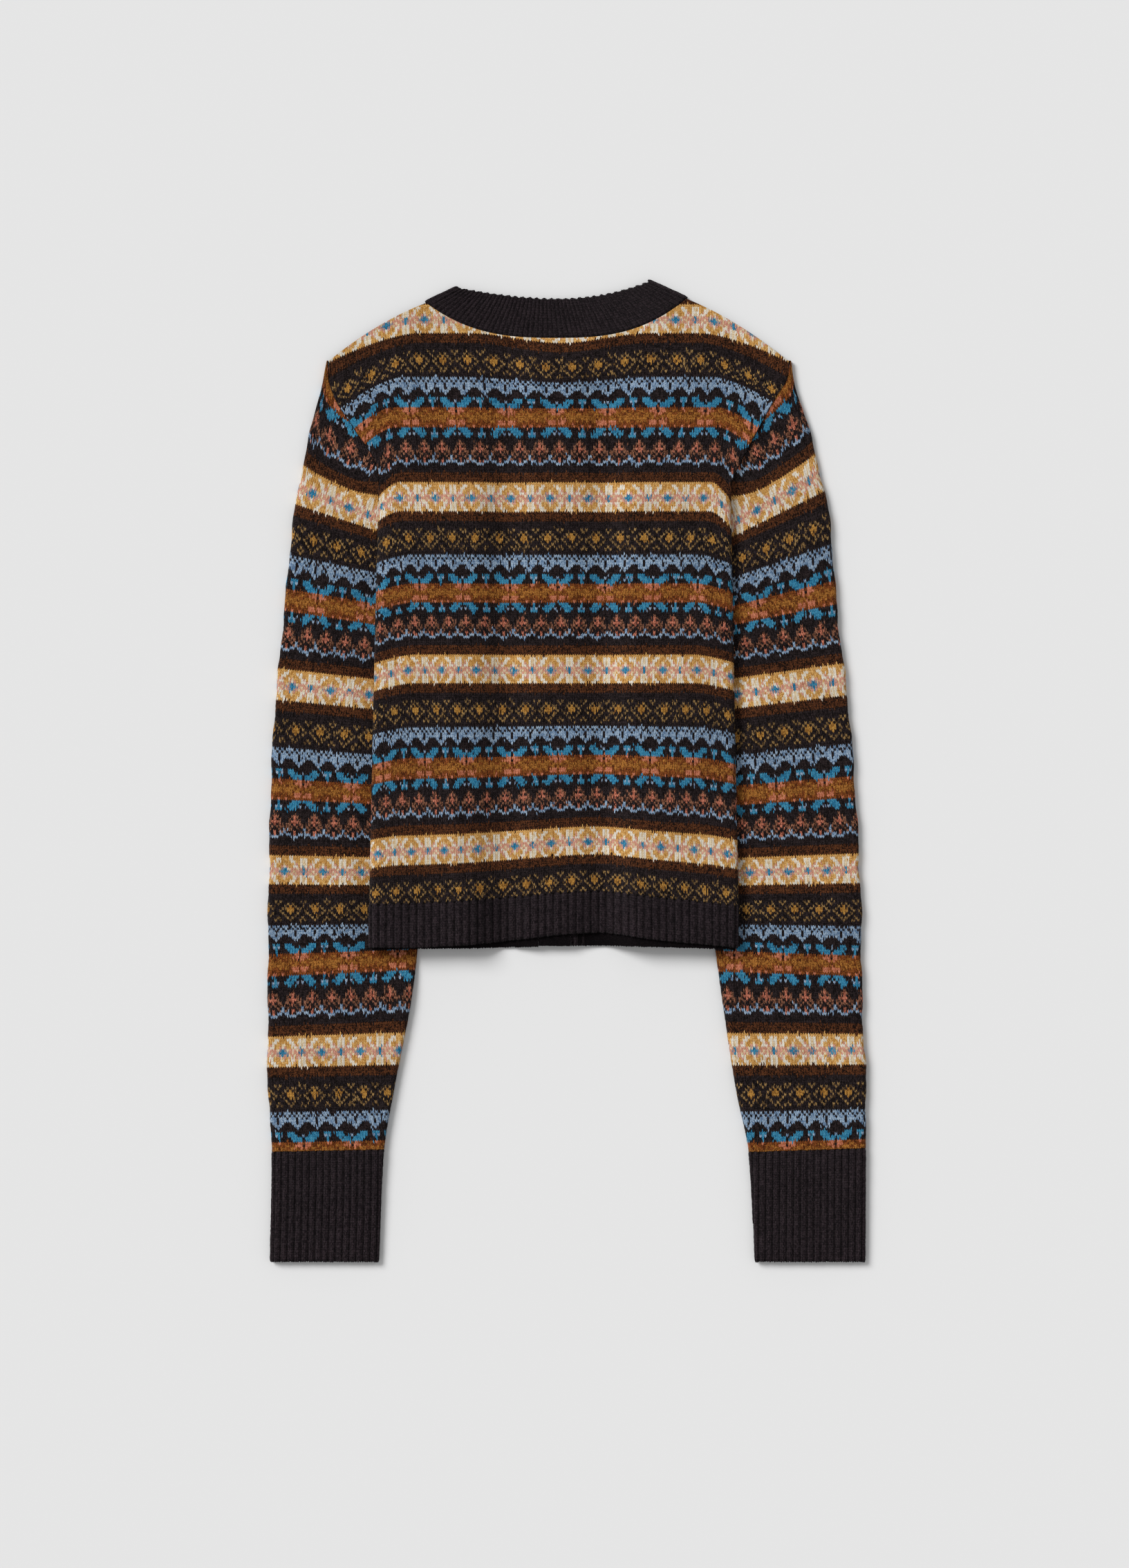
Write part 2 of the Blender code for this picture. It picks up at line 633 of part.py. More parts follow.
def front_band_lines(section, side):
    """Cross-lines of the band's front half, from the neck point to the button band."""
    neck_columns = len(TOP_COLUMNS) - 2 - TOP_COLUMNS.index(NECK_POINT_DEPTH)
    seam = section[-neck_columns:]
    sign = SIDES[side]["sign"]
    fold = NECK_FREE_LEFT if side == "left" else NECK_FREE_RIGHT
    neck = (SIDES[side]["neck_x"], SIDES[side]["neck_y"])
    start = Vector((fold[0] - neck[0], fold[1] - neck[1], 0.0)).normalized()
    lines = []
    for index, pair in enumerate(seam):
        share = (index + 1) / len(seam)
        direction = start.lerp(Vector((0.0, 1.0, 0.0)), ease(0.0, 1.0, share)).normalized()
        near = tuple(point + direction * GAP for point in reversed(pair))
        far = tuple(point + direction * NECKBAND_HEIGHT for point in near)
        for point in far:
            point.x = CENTRE_X + sign * max(FRONT_EDGE, (point.x - CENTRE_X) * sign)
        lines.append((near, far))
    return lines


# ================================================================ build
def build():
    for item in list(bpy.data.objects):
        bpy.data.objects.remove(item)
    collection = bpy.data.collections.new("wool_cardigan")
    bpy.context.scene.collection.children.link(collection)
    grid = body_grid_rows()

    back_rows = [full_section(row) for row in grid]
    add_object("back", cloth_wall(back_rows), "patterned_knit", collection)

    seam_row, hem_row = hem_rows(back_rows[0], "back")
    first_rib = len(STRIP_COLUMNS) + 1
    hem = ribbed(seam_row, hem_row, HEM_RIB_PITCH, first_rib, len(seam_row) - 1 - first_rib)
    add_object("hem_rib_back", cloth_wall(hem), "dark_rib", collection)

    front_tops = {}
    for side in SIDES:
        panel = "front_" + side
        rows = [front_section(panel, side, row) for row in grid]
        front_tops[side] = rows[-1]
        if side == "right":
            rows = [row[::-1] for row in rows]      # left to right, as the back's columns run
        add_object(panel, cloth_wall(rows), "patterned_knit", collection)
        add_object("hem_rib_" + panel, cloth_wall(hem_rows(rows[0], "front")), "dark_rib", collection)

    for side in SIDES:
        sleeve, cuff = sleeve_rings(side), cuff_rings(side)
        add_object("sleeve_" + side, cloth_wall(sleeve, ring=True), "patterned_knit", collection)
        add_object("cuff_" + side, cloth_wall(cuff, ring=True), "dark_rib", collection)

    build_neckband(back_rows[-1], front_tops, collection)
    build_bands(collection)
    build_buttons(collection)


def build_neckband(back_top, front_tops, collection):
    """One strip: the left front's half, the back half, then the right front's half."""
    lines = back_band_lines(back_top)
    near_run, far_run = [line[0] for line in lines], [line[1] for line in lines]
    near_run, far_run = ribbed(near_run, far_run, NECK_RIB_PITCH, 0, len(near_run) - 1)
    left_lines = turned_lines(lines[0], 1.0) + front_band_lines(front_tops["left"], "left")
    left_lines.reverse()
    right_lines = turned_lines(lines[-1], -1.0) + front_band_lines(front_tops["right"], "right")
    near = [line[0] for line in left_lines] + near_run + [line[0] for line in right_lines]
    far = [line[1] for line in left_lines] + far_run + [line[1] for line in right_lines]
    add_object("neckband", cloth_wall([near, far]), "dark_rib", collection)


def build_bands(collection):
    """Two overlapping bands; the right one is the outer, which faces the floor."""
    top = FRONT_NECK_LOW_Y + NECKBAND_HEIGHT
    bottom = read_table(HEM_LINE, "x", "front", CENTRE_X)
    face = SEAM_LIE + RIDGE_LIFT
    for name, layer in (("button_band_left", 1), ("button_band_right", 2)):
        high = face - layer * PITCH
        rows = []
        for y in (bottom, top):
            edges = (CENTRE_X - BAND_WIDTH / 2, CENTRE_X + BAND_WIDTH / 2)
            rows.append([(Vector((x, y, high)), Vector((x, y, high - WALL))) for x in edges])
        add_object(name, cloth_wall(rows), "dark_rib", collection)


def build_buttons(collection):
    """Buttons on the outer band, evenly spaced, each lying on the floor."""
    for index in range(BUTTON_COUNT):
        y = mix(BUTTON_LOW_Y, BUTTON_HIGH_Y, index / (BUTTON_COUNT - 1))

        def disc(work, y=y):
            bmesh.ops.create_cone(work, cap_ends=True, segments=20, radius1=BUTTON_RADIUS,
                                  radius2=BUTTON_RADIUS, depth=BUTTON_THICK)
            rims = [edge for edge in work.edges
                    if edge.verts[0].co.z * edge.verts[1].co.z > 0.0]
            bmesh.ops.bevel(work, geom=rims, offset=BUTTON_EDGE, segments=1, profile=0.5,
                            affect="EDGES", material=-1)
            bmesh.ops.translate(work, vec=(CENTRE_X, y, BUTTON_THICK / 2), verts=work.verts)
        add_object("button_%d" % (index + 1), disc, "dark_button", collection)


build()
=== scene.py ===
# %% [markdown]
# # A wool cardigan, folded for a photograph
# The cardigan lies face down with its sides folded under. This lesson dresses a ready-made set of
# solids: it knits each panel again as a mesh with two faces to every stitch, so that the colours change
# where real yarn changes, and lays that cloth on the same form. Start by loading the solids as the frame.

# %% Load the frame
import math
import random
from functools import partial
from itertools import accumulate

import bmesh
import bpy
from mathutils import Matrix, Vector
from mathutils.geometry import area_tri, delaunay_2d_cdt


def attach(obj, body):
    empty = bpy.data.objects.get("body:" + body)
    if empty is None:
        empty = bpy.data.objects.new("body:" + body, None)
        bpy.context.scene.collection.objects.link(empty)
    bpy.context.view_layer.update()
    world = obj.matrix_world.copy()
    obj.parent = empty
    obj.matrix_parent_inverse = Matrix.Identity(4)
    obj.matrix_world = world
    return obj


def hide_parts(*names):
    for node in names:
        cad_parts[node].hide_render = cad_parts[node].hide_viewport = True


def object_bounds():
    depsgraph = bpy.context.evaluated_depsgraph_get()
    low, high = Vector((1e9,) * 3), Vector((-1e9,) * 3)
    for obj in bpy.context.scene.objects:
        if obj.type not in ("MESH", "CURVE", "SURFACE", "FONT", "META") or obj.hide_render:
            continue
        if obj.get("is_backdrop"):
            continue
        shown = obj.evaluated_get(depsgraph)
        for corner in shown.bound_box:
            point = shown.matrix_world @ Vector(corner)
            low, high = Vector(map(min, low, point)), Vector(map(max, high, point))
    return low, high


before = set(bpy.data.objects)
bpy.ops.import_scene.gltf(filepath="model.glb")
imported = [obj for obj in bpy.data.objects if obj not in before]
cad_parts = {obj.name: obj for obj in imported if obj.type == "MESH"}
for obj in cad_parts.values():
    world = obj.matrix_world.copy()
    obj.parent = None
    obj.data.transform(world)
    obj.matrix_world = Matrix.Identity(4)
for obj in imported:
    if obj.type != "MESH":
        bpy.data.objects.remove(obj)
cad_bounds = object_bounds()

print("frame:", len(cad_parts), "nodes")

# %% [markdown]
# ## Measuring in millimetres
# Knitting is measured in stitches and millimetres, so this script works in millimetres and each mesh is
# scaled to metres when it is finished. Long gentle curves, such as the side of a sleeve, are given as
# short tables, and a smooth curve is read through their rows.

# %% Small helpers
MM = 0.001
TINY = 0.01                 # mm or stitches, too little to matter


def add_object(name, data):
    thing = bpy.data.objects.new(name, data)
    bpy.context.scene.collection.objects.link(thing)
    return thing


def mix(first, second, share):
    return first + (second - first) * share


def clamp(share):
    return min(1.0, max(0.0, share))


def ease(start, end, value):
    """0 at start, 1 at end, level at both."""
    share = clamp((value - start) / (end - start))
    return share * share * (3.0 - 2.0 * share)


def unease(share):
    """The value at which ease(0, 1, value) is share."""
    return 0.5 - math.sin(math.asin(1.0 - 2.0 * clamp(share)) / 3.0)


def table(columns, *rows):
    """A short table with named columns, a tuple for each row."""
    return [dict(zip(columns.split(), row)) for row in rows]


def smooth(rows, value):
    """Read a smooth curve through rows of two numbers; past its ends it stays level."""
    value = min(rows[-1][0], max(rows[0][0], value))
    place = 0
    while place < len(rows) - 2 and rows[place + 1][0] <= value:
        place += 1
    (x0, y0), (x1, y1) = rows[place], rows[place + 1]
    before, after = rows[max(place - 1, 0)], rows[min(place + 2, len(rows) - 1)]
    span = x1 - x0
    share = (value - x0) / span
    slope0 = (y1 - before[1]) / (x1 - before[0]) * span
    slope1 = (after[1] - y0) / (after[0] - x0) * span
    lift = slope0 * share * (1.0 - share) ** 2 - slope1 * share * share * (1.0 - share)
    return mix(y0, y1, share * share * (3.0 - 2.0 * share)) + lift


def curves(columns, *rows):
    """A smooth curve for each named column of a short table, read by its first column."""
    return {name: partial(smooth, sorted((row[0], row[place]) for row in rows))
            for place, name in enumerate(columns.split()) if place}


def steps(start, end, step):
    """Places from start to end, both included, about a step apart."""
    count = max(1, round((end - start) / step))
    return [mix(start, end, index / count) for index in range(count + 1)]


def distances(points):
    """How far along a chain of points each of them is."""
    return [0.0, *accumulate((second - first).length for first, second in zip(points, points[1:]))]


# %% [markdown]
# ## Camera, floor and light
# Flat clothes are photographed from straight above with a long lens, so that nothing leans. The frame is
# 1633 by 2268 pixels and one pixel is 0.53 mm of cardigan. A wide, even light from the upper left throws
# the narrow grey shadow that runs down the right-hand edges, and a bright plain world fills the rest. A
# sun lamp keeps the paper one shade from corner to corner, which an area light close by would not do.

# %% Camera
PIXEL = 0.53                         # mm of cardigan
FRAME_WIDE, FRAME_HIGH = 1633, 2268
CENTRE_PX = (820.0, 1114.0)          # pixel at the middle of the cardigan's footprint
CAMERA_HEIGHT, MEAN_CLOTH_Z = 3.2, 0.009        # metres above the floor
SENSOR = 36.0                        # mm

frame_tall = FRAME_HIGH * PIXEL * MM
camera = add_object("camera", bpy.data.cameras.new("camera"))
camera.data.sensor_width = SENSOR
camera.data.lens = SENSOR * (CAMERA_HEIGHT - MEAN_CLOTH_Z) / frame_tall
bpy.context.scene.view_settings.view_transform = "Standard"
camera.location = ((FRAME_WIDE / 2 - CENTRE_PX[0]) * PIXEL * MM,
                   (CENTRE_PX[1] - FRAME_HIGH / 2) * PIXEL * MM, CAMERA_HEIGHT)
bpy.context.scene.camera = camera
print("lens %.0f mm" % camera.data.lens)


# %% Colours and node helpers
def colour(code):
    """Linear colour from an sRGB hex code."""
    parts = [int(code[place:place + 2], 16) / 255.0 for place in (1, 3, 5)]
    linear = [part / 12.92 if part <= 0.04045 else ((part + 0.055) / 1.055) ** 2.4 for part in parts]
    return (*linear, 1.0)


def start_material(name):
    material = bpy.data.materials.new(name)
    material.use_nodes = True
    return material, material.node_tree.nodes["Principled BSDF"]


def set_node(owner, node, settings):
    """Each setting is a property, the value of a socket, or the (node, output) it is linked to."""
    for key, value in settings.items():
        if isinstance(key, str) and hasattr(node, key):
            setattr(node, key, value)
        elif isinstance(value, tuple) and isinstance(value[0], bpy.types.Node):
            owner.node_tree.links.new(value[0].outputs[value[1]], node.inputs[key])
        else:
            node.inputs[key].default_value = value
    return node


def add_node(owner, kind, settings):
    return set_node(owner, owner.node_tree.nodes.new("ShaderNode" + kind), settings)


print("node helpers ready")


# %% Floor and light
FLOOR_SIZE = 60.0                    # metres, so that no view from the side sees its edge
floor_work = bmesh.new()
bmesh.ops.create_grid(floor_work, x_segments=1, y_segments=1, size=FLOOR_SIZE / 2)
floor_mesh = bpy.data.meshes.new("floor")
floor_work.to_mesh(floor_mesh)
floor_work.free()
floor = add_object("floor", floor_mesh)
paper, paper_shader = start_material("matt_backdrop_paper")
set_node(paper, paper_shader, {"Base Color": colour("#E8E8E8"), "Roughness": 0.9,
                               "Specular IOR Level": 0.05})
floor_mesh.materials.append(paper)
floor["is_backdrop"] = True

SUN_HEADING = (0.61, -0.49, -0.62)   # from the upper left, a little under 40 degrees up
sun = bpy.data.lights.new("window_light", "SUN")
sun.energy = 2.7
sun.angle = math.radians(28.0)       # wide, so the shadows have soft edges
lamp = add_object("window_light", sun)
lamp.rotation_euler = Vector(SUN_HEADING).to_track_quat("-Z", "Y").to_euler()
lamp.location = (-1.9, 1.2, 2.1)
world = bpy.data.worlds.new("white_studio")
bpy.context.scene.world = world
world.use_nodes = True
set_node(world, world.node_tree.nodes["Background"], {"Color": (1.0, 1.0, 1.0, 1.0), "Strength": 0.44})
print("floor and light made")

# %% [markdown]
# ## The yarns
# The cloth is Shetland wool, spun from fibres that were dyed before spinning. That is why each yarn is
# really two colours, a light and a dark one, which vary from stitch to stitch. Every face of a knitted
# mesh carries the number of its yarn and a random tint as attributes, and two stepped colour ramps turn
# them into the pair of colours. Painting an image would be easier, but a ramp can be re-dyed in seconds.

# %% Yarn table
YARNS = {               # letter: name, light colour, dark colour
    ".": ("black_brown", "#3D3334", "#171111"),
    "m": ("brown_heather", "#75482C", "#17100F"),
    "o": ("ochre", "#F8C880", "#C89048"),
    "C": ("cream", "#FFFAEE", "#F6E6CE"),
    "s": ("sand", "#FFF0D0", "#E8C698"),
    "p": ("pink_heather", "#F2B8A4", "#DA9C80"),
    "q": ("grey_pink", "#C8ACA4", "#8894A4"),
    "b": ("bright_blue", "#5AA8C8", "#2A7AA2"),
    "l": ("light_blue", "#B8CCDF", "#6A88AA"),
    "g": ("dull_gold", "#B89662", "#4C3826"),
    "G": ("gold", "#D6A456", "#966832"),
    "r": ("rust", "#A46030", "#572E16"),
    "w": ("golden_rust", "#C88A44", "#784820"),
    "F": ("coral", "#E89A7A", "#B46848"),
    "t": ("dull_coral", "#B07C62", "#40291F"),
    "T": ("tree_coral", "#E6957A", "#8A4E3C"),
}
YARN_PLACE = {letter: (index + 0.5) / len(YARNS) for index, letter in enumerate(YARNS)}
RIB_YARN = ("#40363A", "#201A1D")       # light, dark
print("yarns:", len(YARNS))

# %% [markdown]
# ## The chart
# A knitter works from a chart: one letter a stitch, one line a row, top row first. Every motif here is
# mirrored about its first column, so a line holds only the first half of a repeat. A plain band is one
# letter. `start` is the stitch that holds a band's first column on the body, the left sleeve and the
# right sleeve: a maker centres each band afresh, so the motifs of two bands seldom line up.

# %% Chart
CHART = table(
    "name start half",
    ("cream peerie", (0, 15, 6), [
        "ooooooooo",
        "sCoooCCoo",
        "sCooCCooo",
        "sCopCooos",
        "sCpCCoopC",
        "bpspppsqb",
        "bqppspqbb",
        "bppspspqb",
        "sCpCCoopC",
        "sCopCooos",
        "sCooCCooo",
        "sCoooCCoo"]),
    ("brown", (0, 0, 0), ["m"] * 4),
    ("black", (0, 0, 0), ["."] * 3),
    ("lattice", (1, 10, 8), [
        "....g.",
        ".g...g",
        "G.g...",
        "GG.g..",
        "GG..g.",
        "G..g..",
        "..g...",
        ".g...g",
        "g...g."]),
    ("black", (0, 0, 0), ["."] * 2),
    ("scallops", (-1, 4, 1), [
        ".l.ll",
        "l.l.l",
        ".lll.",
        ".llll",
        ".ll..",
        "ll...",
        "l...."]),
    ("upper leaves", (-5, 14, 13), [
        "...........",
        "....bbb..bb",
        "l..bbbb..lb",
        ".bbbbb....b",
        ".bbbb.....b"]),
    ("rust", (-5, 14, 13), [
        "rFFrrrrrrrF",
        ".FFFrrwwrrr",
        "rFrwwwrrwwr",
        "rwwrwwwwwww",
        "wrwwrwwwwww",
        "rFFFrwwrwrr",
        "rFFFrrrrrrr",
        "rrrrrrrFrrF"]),
    ("lower leaves", (-5, 14, 13), [
        ".bbbb.....b",
        "..bbbb....b",
        ".l.bbbb..lb",
        "....bb...bb",
        "..........."]),
    ("trees", (-4, 3, 0), [
        "t....",
        "Tt...",
        "T.t..",
        "TTt..",
        "T.tt.",
        ".t.t.",
        "..t.l",
        "T..tl",
        "T.ll.",
        "ll...",
        "....."]),
    ("black", (0, 0, 0), ["."] * 2),
    ("brown", (0, 0, 0), ["m"] * 4))
CHART_ROWS = [(band, line) for band in CHART for line in band["half"]]
REPEAT_ROWS = len(CHART_ROWS)
print("chart rows in a repeat:", REPEAT_ROWS)

# %% Reading the chart
PARTS = {"body": 0, "left": 1, "right": 2}


def yarn_at(part, first_row, wale, row):
    """Letter of the yarn at a stitch; first_row is the line of the chart that a piece starts on."""
    band, line = CHART_ROWS[(first_row - row) % REPEAT_ROWS]
    half = len(line) - 1
    if half == 0:
        return line
    column = (wale - band["start"][PARTS[part]]) % (2 * half)
    return line[min(column, 2 * half - column)]


# %% [markdown]
# ## Knitted wool as a material
# Woollen-spun Shetland wool is matt, with a soft bloom of light at grazing angles from its loose fibres.
# Each stitch is a V of two slanting legs. The faces already slant, so the shader only rounds each face
# into a strand: it raises the middle with a bump and paints shade into the gaps. Light that comes out of a
# gap has met the yarn more than once, so this painted shade is not just grey: the gap's colour is raised to
# a power, which keeps cream gaps golden and black gaps black. Points that lie sunk below the face, in the
# grooves of the ribs and between columns of stitches, get painted shade too.

# %% Wool materials
STRAND_HEIGHT = 0.45        # mm, how far a strand stands above the gap beside it
FIBRE_SIZE = 0.9            # mm; real fibres are 0.03 mm, drawn coarse enough to show
BLOTCH_SIZE = 24.0          # mm, slow change of shade over the cloth
# painted shade in the gaps between strands
GAP_POWER, GAP_SHADE = 1.35, 0.66       # in the gaps: power and share of the yarn's colour
# painted shade in the grooves of the ribs and between columns of stitches
SUNK_SHADE = 0.62           # share of the light lost for each mm a vertex is sunk below the face


def strand_nodes(node):
    """Height of the strand on each face: 1 along its middle, 0 in the gap round it."""
    stitch = node("UVMap", {"uv_map": "stitch"})
    split = node("SeparateXYZ", {0: (stitch, "UV")})
    across = node("Math", {"operation": "PINGPONG", 0: (split, "X"), 1: 0.5})
    along = node("Math", {"operation": "PINGPONG", 0: (split, "Y"), 1: 0.5})
    side = node("MapRange", {"interpolation_type": "SMOOTHSTEP", "Value": (across, 0), "From Max": 0.34})
    ends = node("MapRange", {"interpolation_type": "SMOOTHSTEP", "Value": (along, 0), "From Max": 0.30,
                             "To Min": 0.7})
    return node("Math", {"operation": "MULTIPLY", 0: (side, 0), 1: (ends, 0)})


def wool_finish(material, shader, light, dark):
    """Join the nodes of the light and the dark yarn colour, the painted shade of the gaps and of sunk points,
    the bump and the bloom.
    """
    node = partial(add_node, material)
    place = node("TexCoord", {})
    fibre = node("TexNoise", {"Vector": (place, "Object"), "Scale": 1.0 / (FIBRE_SIZE * MM), "Detail": 3.0})
    spun = node("MapRange", {"Value": (fibre, "Fac"), "From Min": 0.36, "From Max": 0.64, "To Max": 0.5})
    tint = node("Attribute", {"attribute_name": "tint"})
    blend = node("Math", {"operation": "MULTIPLY_ADD", 0: (tint, "Fac"), 1: 0.5, 2: (spun, 0)})
    share = node("MapRange", {"interpolation_type": "SMOOTHSTEP", "Value": (blend, 0), "From Min": 0.2,
                              "From Max": 0.8})
    yarn = node("MixRGB", {"Fac": (share, 0), "Color1": (dark, "Color"), "Color2": (light, "Color")})
    strand = strand_nodes(node)
    # painted shade in the gaps between strands: the colour is raised to a power and darkened there
    power = node("MapRange", {"Value": (strand, 0), "To Min": GAP_POWER, "To Max": 1.0})
    deep = node("Gamma", {"Color": (yarn, "Color"), "Gamma": (power, 0)})
    blotch = node("TexNoise", {"Vector": (place, "Object"), "Scale": 1.0 / (BLOTCH_SIZE * MM), "Detail": 2.0})
    slow = node("MapRange", {"Value": (blotch, "Fac"), "From Min": 0.3, "From Max": 0.7, "To Min": 0.9,
                             "To Max": 1.08})
    gap = node("MapRange", {"Value": (strand, 0), "To Min": GAP_SHADE})
    # painted shade where a point is sunk below the face
    sunk = node("Attribute", {"attribute_name": "sunk"})
    low = node("Math", {"operation": "MULTIPLY_ADD", 0: (sunk, "Fac"), 1: -SUNK_SHADE, 2: 1.0})
    painted_shade = node("Math", {"operation": "MULTIPLY", 0: (gap, 0), 1: (low, 0)})
    shade = node("Math", {"operation": "MULTIPLY", 0: (painted_shade, 0), 1: (slow, 0)})
    dimmed = node("VectorMath", {"operation": "SCALE", 0: (deep, "Color"), "Scale": (shade, 0)})
    fuzz = node("Math", {"operation": "MULTIPLY_ADD", 0: (fibre, "Fac"), 1: 0.5, 2: (strand, 0)})
    bump = node("Bump", {"Height": (fuzz, 0), "Strength": 0.9, "Distance": STRAND_HEIGHT * MM})
    set_node(material, shader, {"Base Color": (dimmed, 0), "Normal": (bump, "Normal"), "Roughness": 0.95,
                                "Specular IOR Level": 0.06, "Sheen Weight": 0.03, "Sheen Roughness": 0.5})


def yarn_ramp(material, column):
    """A stepped ramp from the face's yarn number to one of its two colours."""
    number = add_node(material, "Attribute", {"attribute_name": "yarn"})
    ramp = add_node(material, "ValToRGB", {"Fac": (number, "Fac")})
    ramp.color_ramp.interpolation = "CONSTANT"
    stops = ramp.color_ramp.elements
    while len(stops) < len(YARNS):
        stops.new(1.0)
    for index, yarn in enumerate(YARNS.values()):
        stops[index].position = index / len(YARNS)
        stops[index].color = colour(yarn[column])
    return ramp


def make_fair_isle():
    """Stranded Shetland wool, machine knitted: matt, heathered, with a soft bloom."""
    material, shader = start_material("shetland_fair_isle")
    wool_finish(material, shader, yarn_ramp(material, 1), yarn_ramp(material, 2))
    return material


def make_rib_wool():
    """The same wool in one near-black shade, knitted as rib, washed and a little felted."""
    material, shader = start_material("shetland_rib")
    shades = [add_node(material, "RGB", {}) for _ in RIB_YARN]
    for node, code in zip(shades, RIB_YARN):
        node.outputs[0].default_value = colour(code)
    wool_finish(material, shader, *shades)
    return material


WOOLS = {"patterned_knit": make_fair_isle(), "dark_rib": make_rib_wool()}
print("wool materials made")

# %% [markdown]
# ## How the body lies
# The same few driving sizes as the solids give the form again: where the sides fold, where the armholes
# and the neck run, and how high the cloth lies over the sleeves and the button bands. The cloth is first
# drawn spread out flat, trimmed to its outline, and then folded. Working in those three steps keeps each
# one simple, and the underside comes for free.

# %% Body sizes
WALL, GAP = 2.0, 0.3        # the cloth, and the space between two layers
STACK = 4 * WALL + 3 * GAP  # the back, the front, and both again where they are tucked under
CENTRE_X, HALF_WIDTH, CENTRE_ZONE = -9.5, 141.0, 37.0
FOLD_REACH, TUCK_DEPTH = 8.0, 74.0      # how far the rolled side bulges, and how deep it is tucked in
STRIP_TOP_Y, FOOT_Y, TIP_Y = 205.0, 219.0, 314.5       # tucked strip's top, armhole's foot, shoulder's tip
BACK_NECK_LOW_Y, BACK_NECK_POWER = 331.9, 2.8
FRONT_NECK_LOW_Y, FRONT_NECK_POWER = 272.0, 2.3
SHOULDER_BULGE = 4.0
SIDES = {
    "left": {"foot_x": -144.0, "tip_x": -182.5, "neck_x": -108.0, "neck_y": 358.8},
    "right": {"foot_x": 125.5, "tip_x": 169.5, "neck_x": 91.7, "neck_y": 362.0},
}
SIGN = {"left": -1, "right": 1}
# x of the folded side, and of the armhole above it
fold_x = curves(
    "y left right",
    (219.0, -144.0, 125.5),
    (113.0, -147.0, 127.5),
    (0.0, -149.5, 129.5),
    (-100.0, -151.5, 131.5),
    (-140.0, -152.0, 131.0))
# y of the rib's upper edge, and of its lower edge on the back and on the fronts
hem_y = curves(
    "x rib back front",
    (-152.0, -102.0, -135.8, -137.5),
    (-110.0, -100.8, -135.6, -136.5),
    (-60.0, -98.2, -132.4, -136.0),
    (20.0, -92.2, -124.6, -134.4),
    (70.0, -96.8, -130.0, -135.2),
    (131.0, -102.8, -135.8, -137.0))
armhole_x = curves(
    "y left right",
    (314.5, -182.7, 170.5),
    (299.0, -182.6, 168.5),
    (288.3, -179.4, 161.5),
    (277.7, -173.8, 155.3),
    (267.1, -166.5, 149.5),
    (256.5, -159.8, 143.8),
    (245.9, -152.0, 138.0),
    (235.3, -146.6, 132.6),
    (226.0, -144.4, 128.0),
    (219.0, -144.0, 125.5))
# height of the outer face at the shoulder seams, and its rise over the sleeves and over the button bands
SEAM_LIE, SIDE_LIFT, RIDGE_LIFT = 2 * WALL + 2 * GAP, 9.6, 4.6
HEM_LIFT, HEM_LIFT_Y = 2.2, (-20.0, -95.0)
SIDE_SLOPE, RIDGE_SLOPE, RIDGE_END_Y = (76.0, 104.0), (12.65, 37.0), (309.0, 331.9)
LIFT_FADE_Y, STRIP_SHARE, FOOT_SHARE = 180.0, 0.97, 0.75       # the lift fades towards the armhole
ROLL_ARC = 20.3             # length of cloth round the rolled side
SNAP = 6.0                  # mm, points this little past the top of the tucked strip are pulled back to it
print("shoulder to shoulder %.0f mm" % (armhole_x["right"](TIP_Y) - armhole_x["left"](TIP_Y)))


# %% Edges of the body
def side_of(x):
    return "left" if x < CENTRE_X else "right"


def edge_x(side, y):
    """The cloth's visible side: the fold, and above it the armhole."""
    return fold_x[side](y) if y <= FOOT_Y else armhole_x[side](y)


def depth_of(x, edge):
    """How far in from the side a point is, on the solids' own scale."""
    off = abs(x - CENTRE_X)
    if off <= CENTRE_ZONE:
        return HALF_WIDTH - off
    reach = abs(edge - CENTRE_X) - CENTRE_ZONE - FOLD_REACH
    return FOLD_REACH + (abs(edge - x) - FOLD_REACH) / reach * (HALF_WIDTH - CENTRE_ZONE - FOLD_REACH)


def depth_x(side, edge, depth):
    """The point that lies so deep."""
    reach = abs(edge - CENTRE_X) - CENTRE_ZONE - FOLD_REACH
    share = (depth - FOLD_REACH) / (HALF_WIDTH - CENTRE_ZONE - FOLD_REACH)
    return edge - SIGN[side] * (FOLD_REACH + share * reach)


def from_fold(x, y):
    """The side a point is on, its sign, where the roll of the side starts, and how far past that it is."""
    side = side_of(x)
    start = edge_x(side, y) - SIGN[side] * FOLD_REACH
    return side, SIGN[side], start, (x - start) * SIGN[side]


def top_line(panel, x):
    """Upper boundary of a panel at x: the shoulder, then the neck."""
    side = side_of(x)
    data = SIDES[side]
    if (x - data["neck_x"]) * SIGN[side] > 0.0:
        share = clamp((x - data["tip_x"]) / (data["neck_x"] - data["tip_x"]))
        return mix(TIP_Y, data["neck_y"], share) + SHOULDER_BULGE * 4.0 * share * (1.0 - share)
    middle = 0.5 * (SIDES["left"]["neck_x"] + SIDES["right"]["neck_x"])
    share = min(1.0, abs(x - middle) / abs(data["neck_x"] - middle))
    if panel == "back":
        return mix(BACK_NECK_LOW_Y, data["neck_y"], share ** BACK_NECK_POWER)
    drop = (1.0 - share ** FRONT_NECK_POWER) ** (1.0 / FRONT_NECK_POWER)
    return mix(data["neck_y"], FRONT_NECK_LOW_Y, drop)


def lift_share(panel, x, y):
    """How much of the lift over the sleeves a point has."""
    if y <= STRIP_TOP_Y:
        return mix(1.0, STRIP_SHARE, ease(LIFT_FADE_Y, STRIP_TOP_Y, y))
    if y <= FOOT_Y:
        return mix(STRIP_SHARE, FOOT_SHARE, (y - STRIP_TOP_Y) / (FOOT_Y - STRIP_TOP_Y))
    climb = (y - FOOT_Y) / max(1.0, top_line(panel, x) - FOOT_Y)
    return FOOT_SHARE * ease(0.0, 1.0, 1.0 - climb)
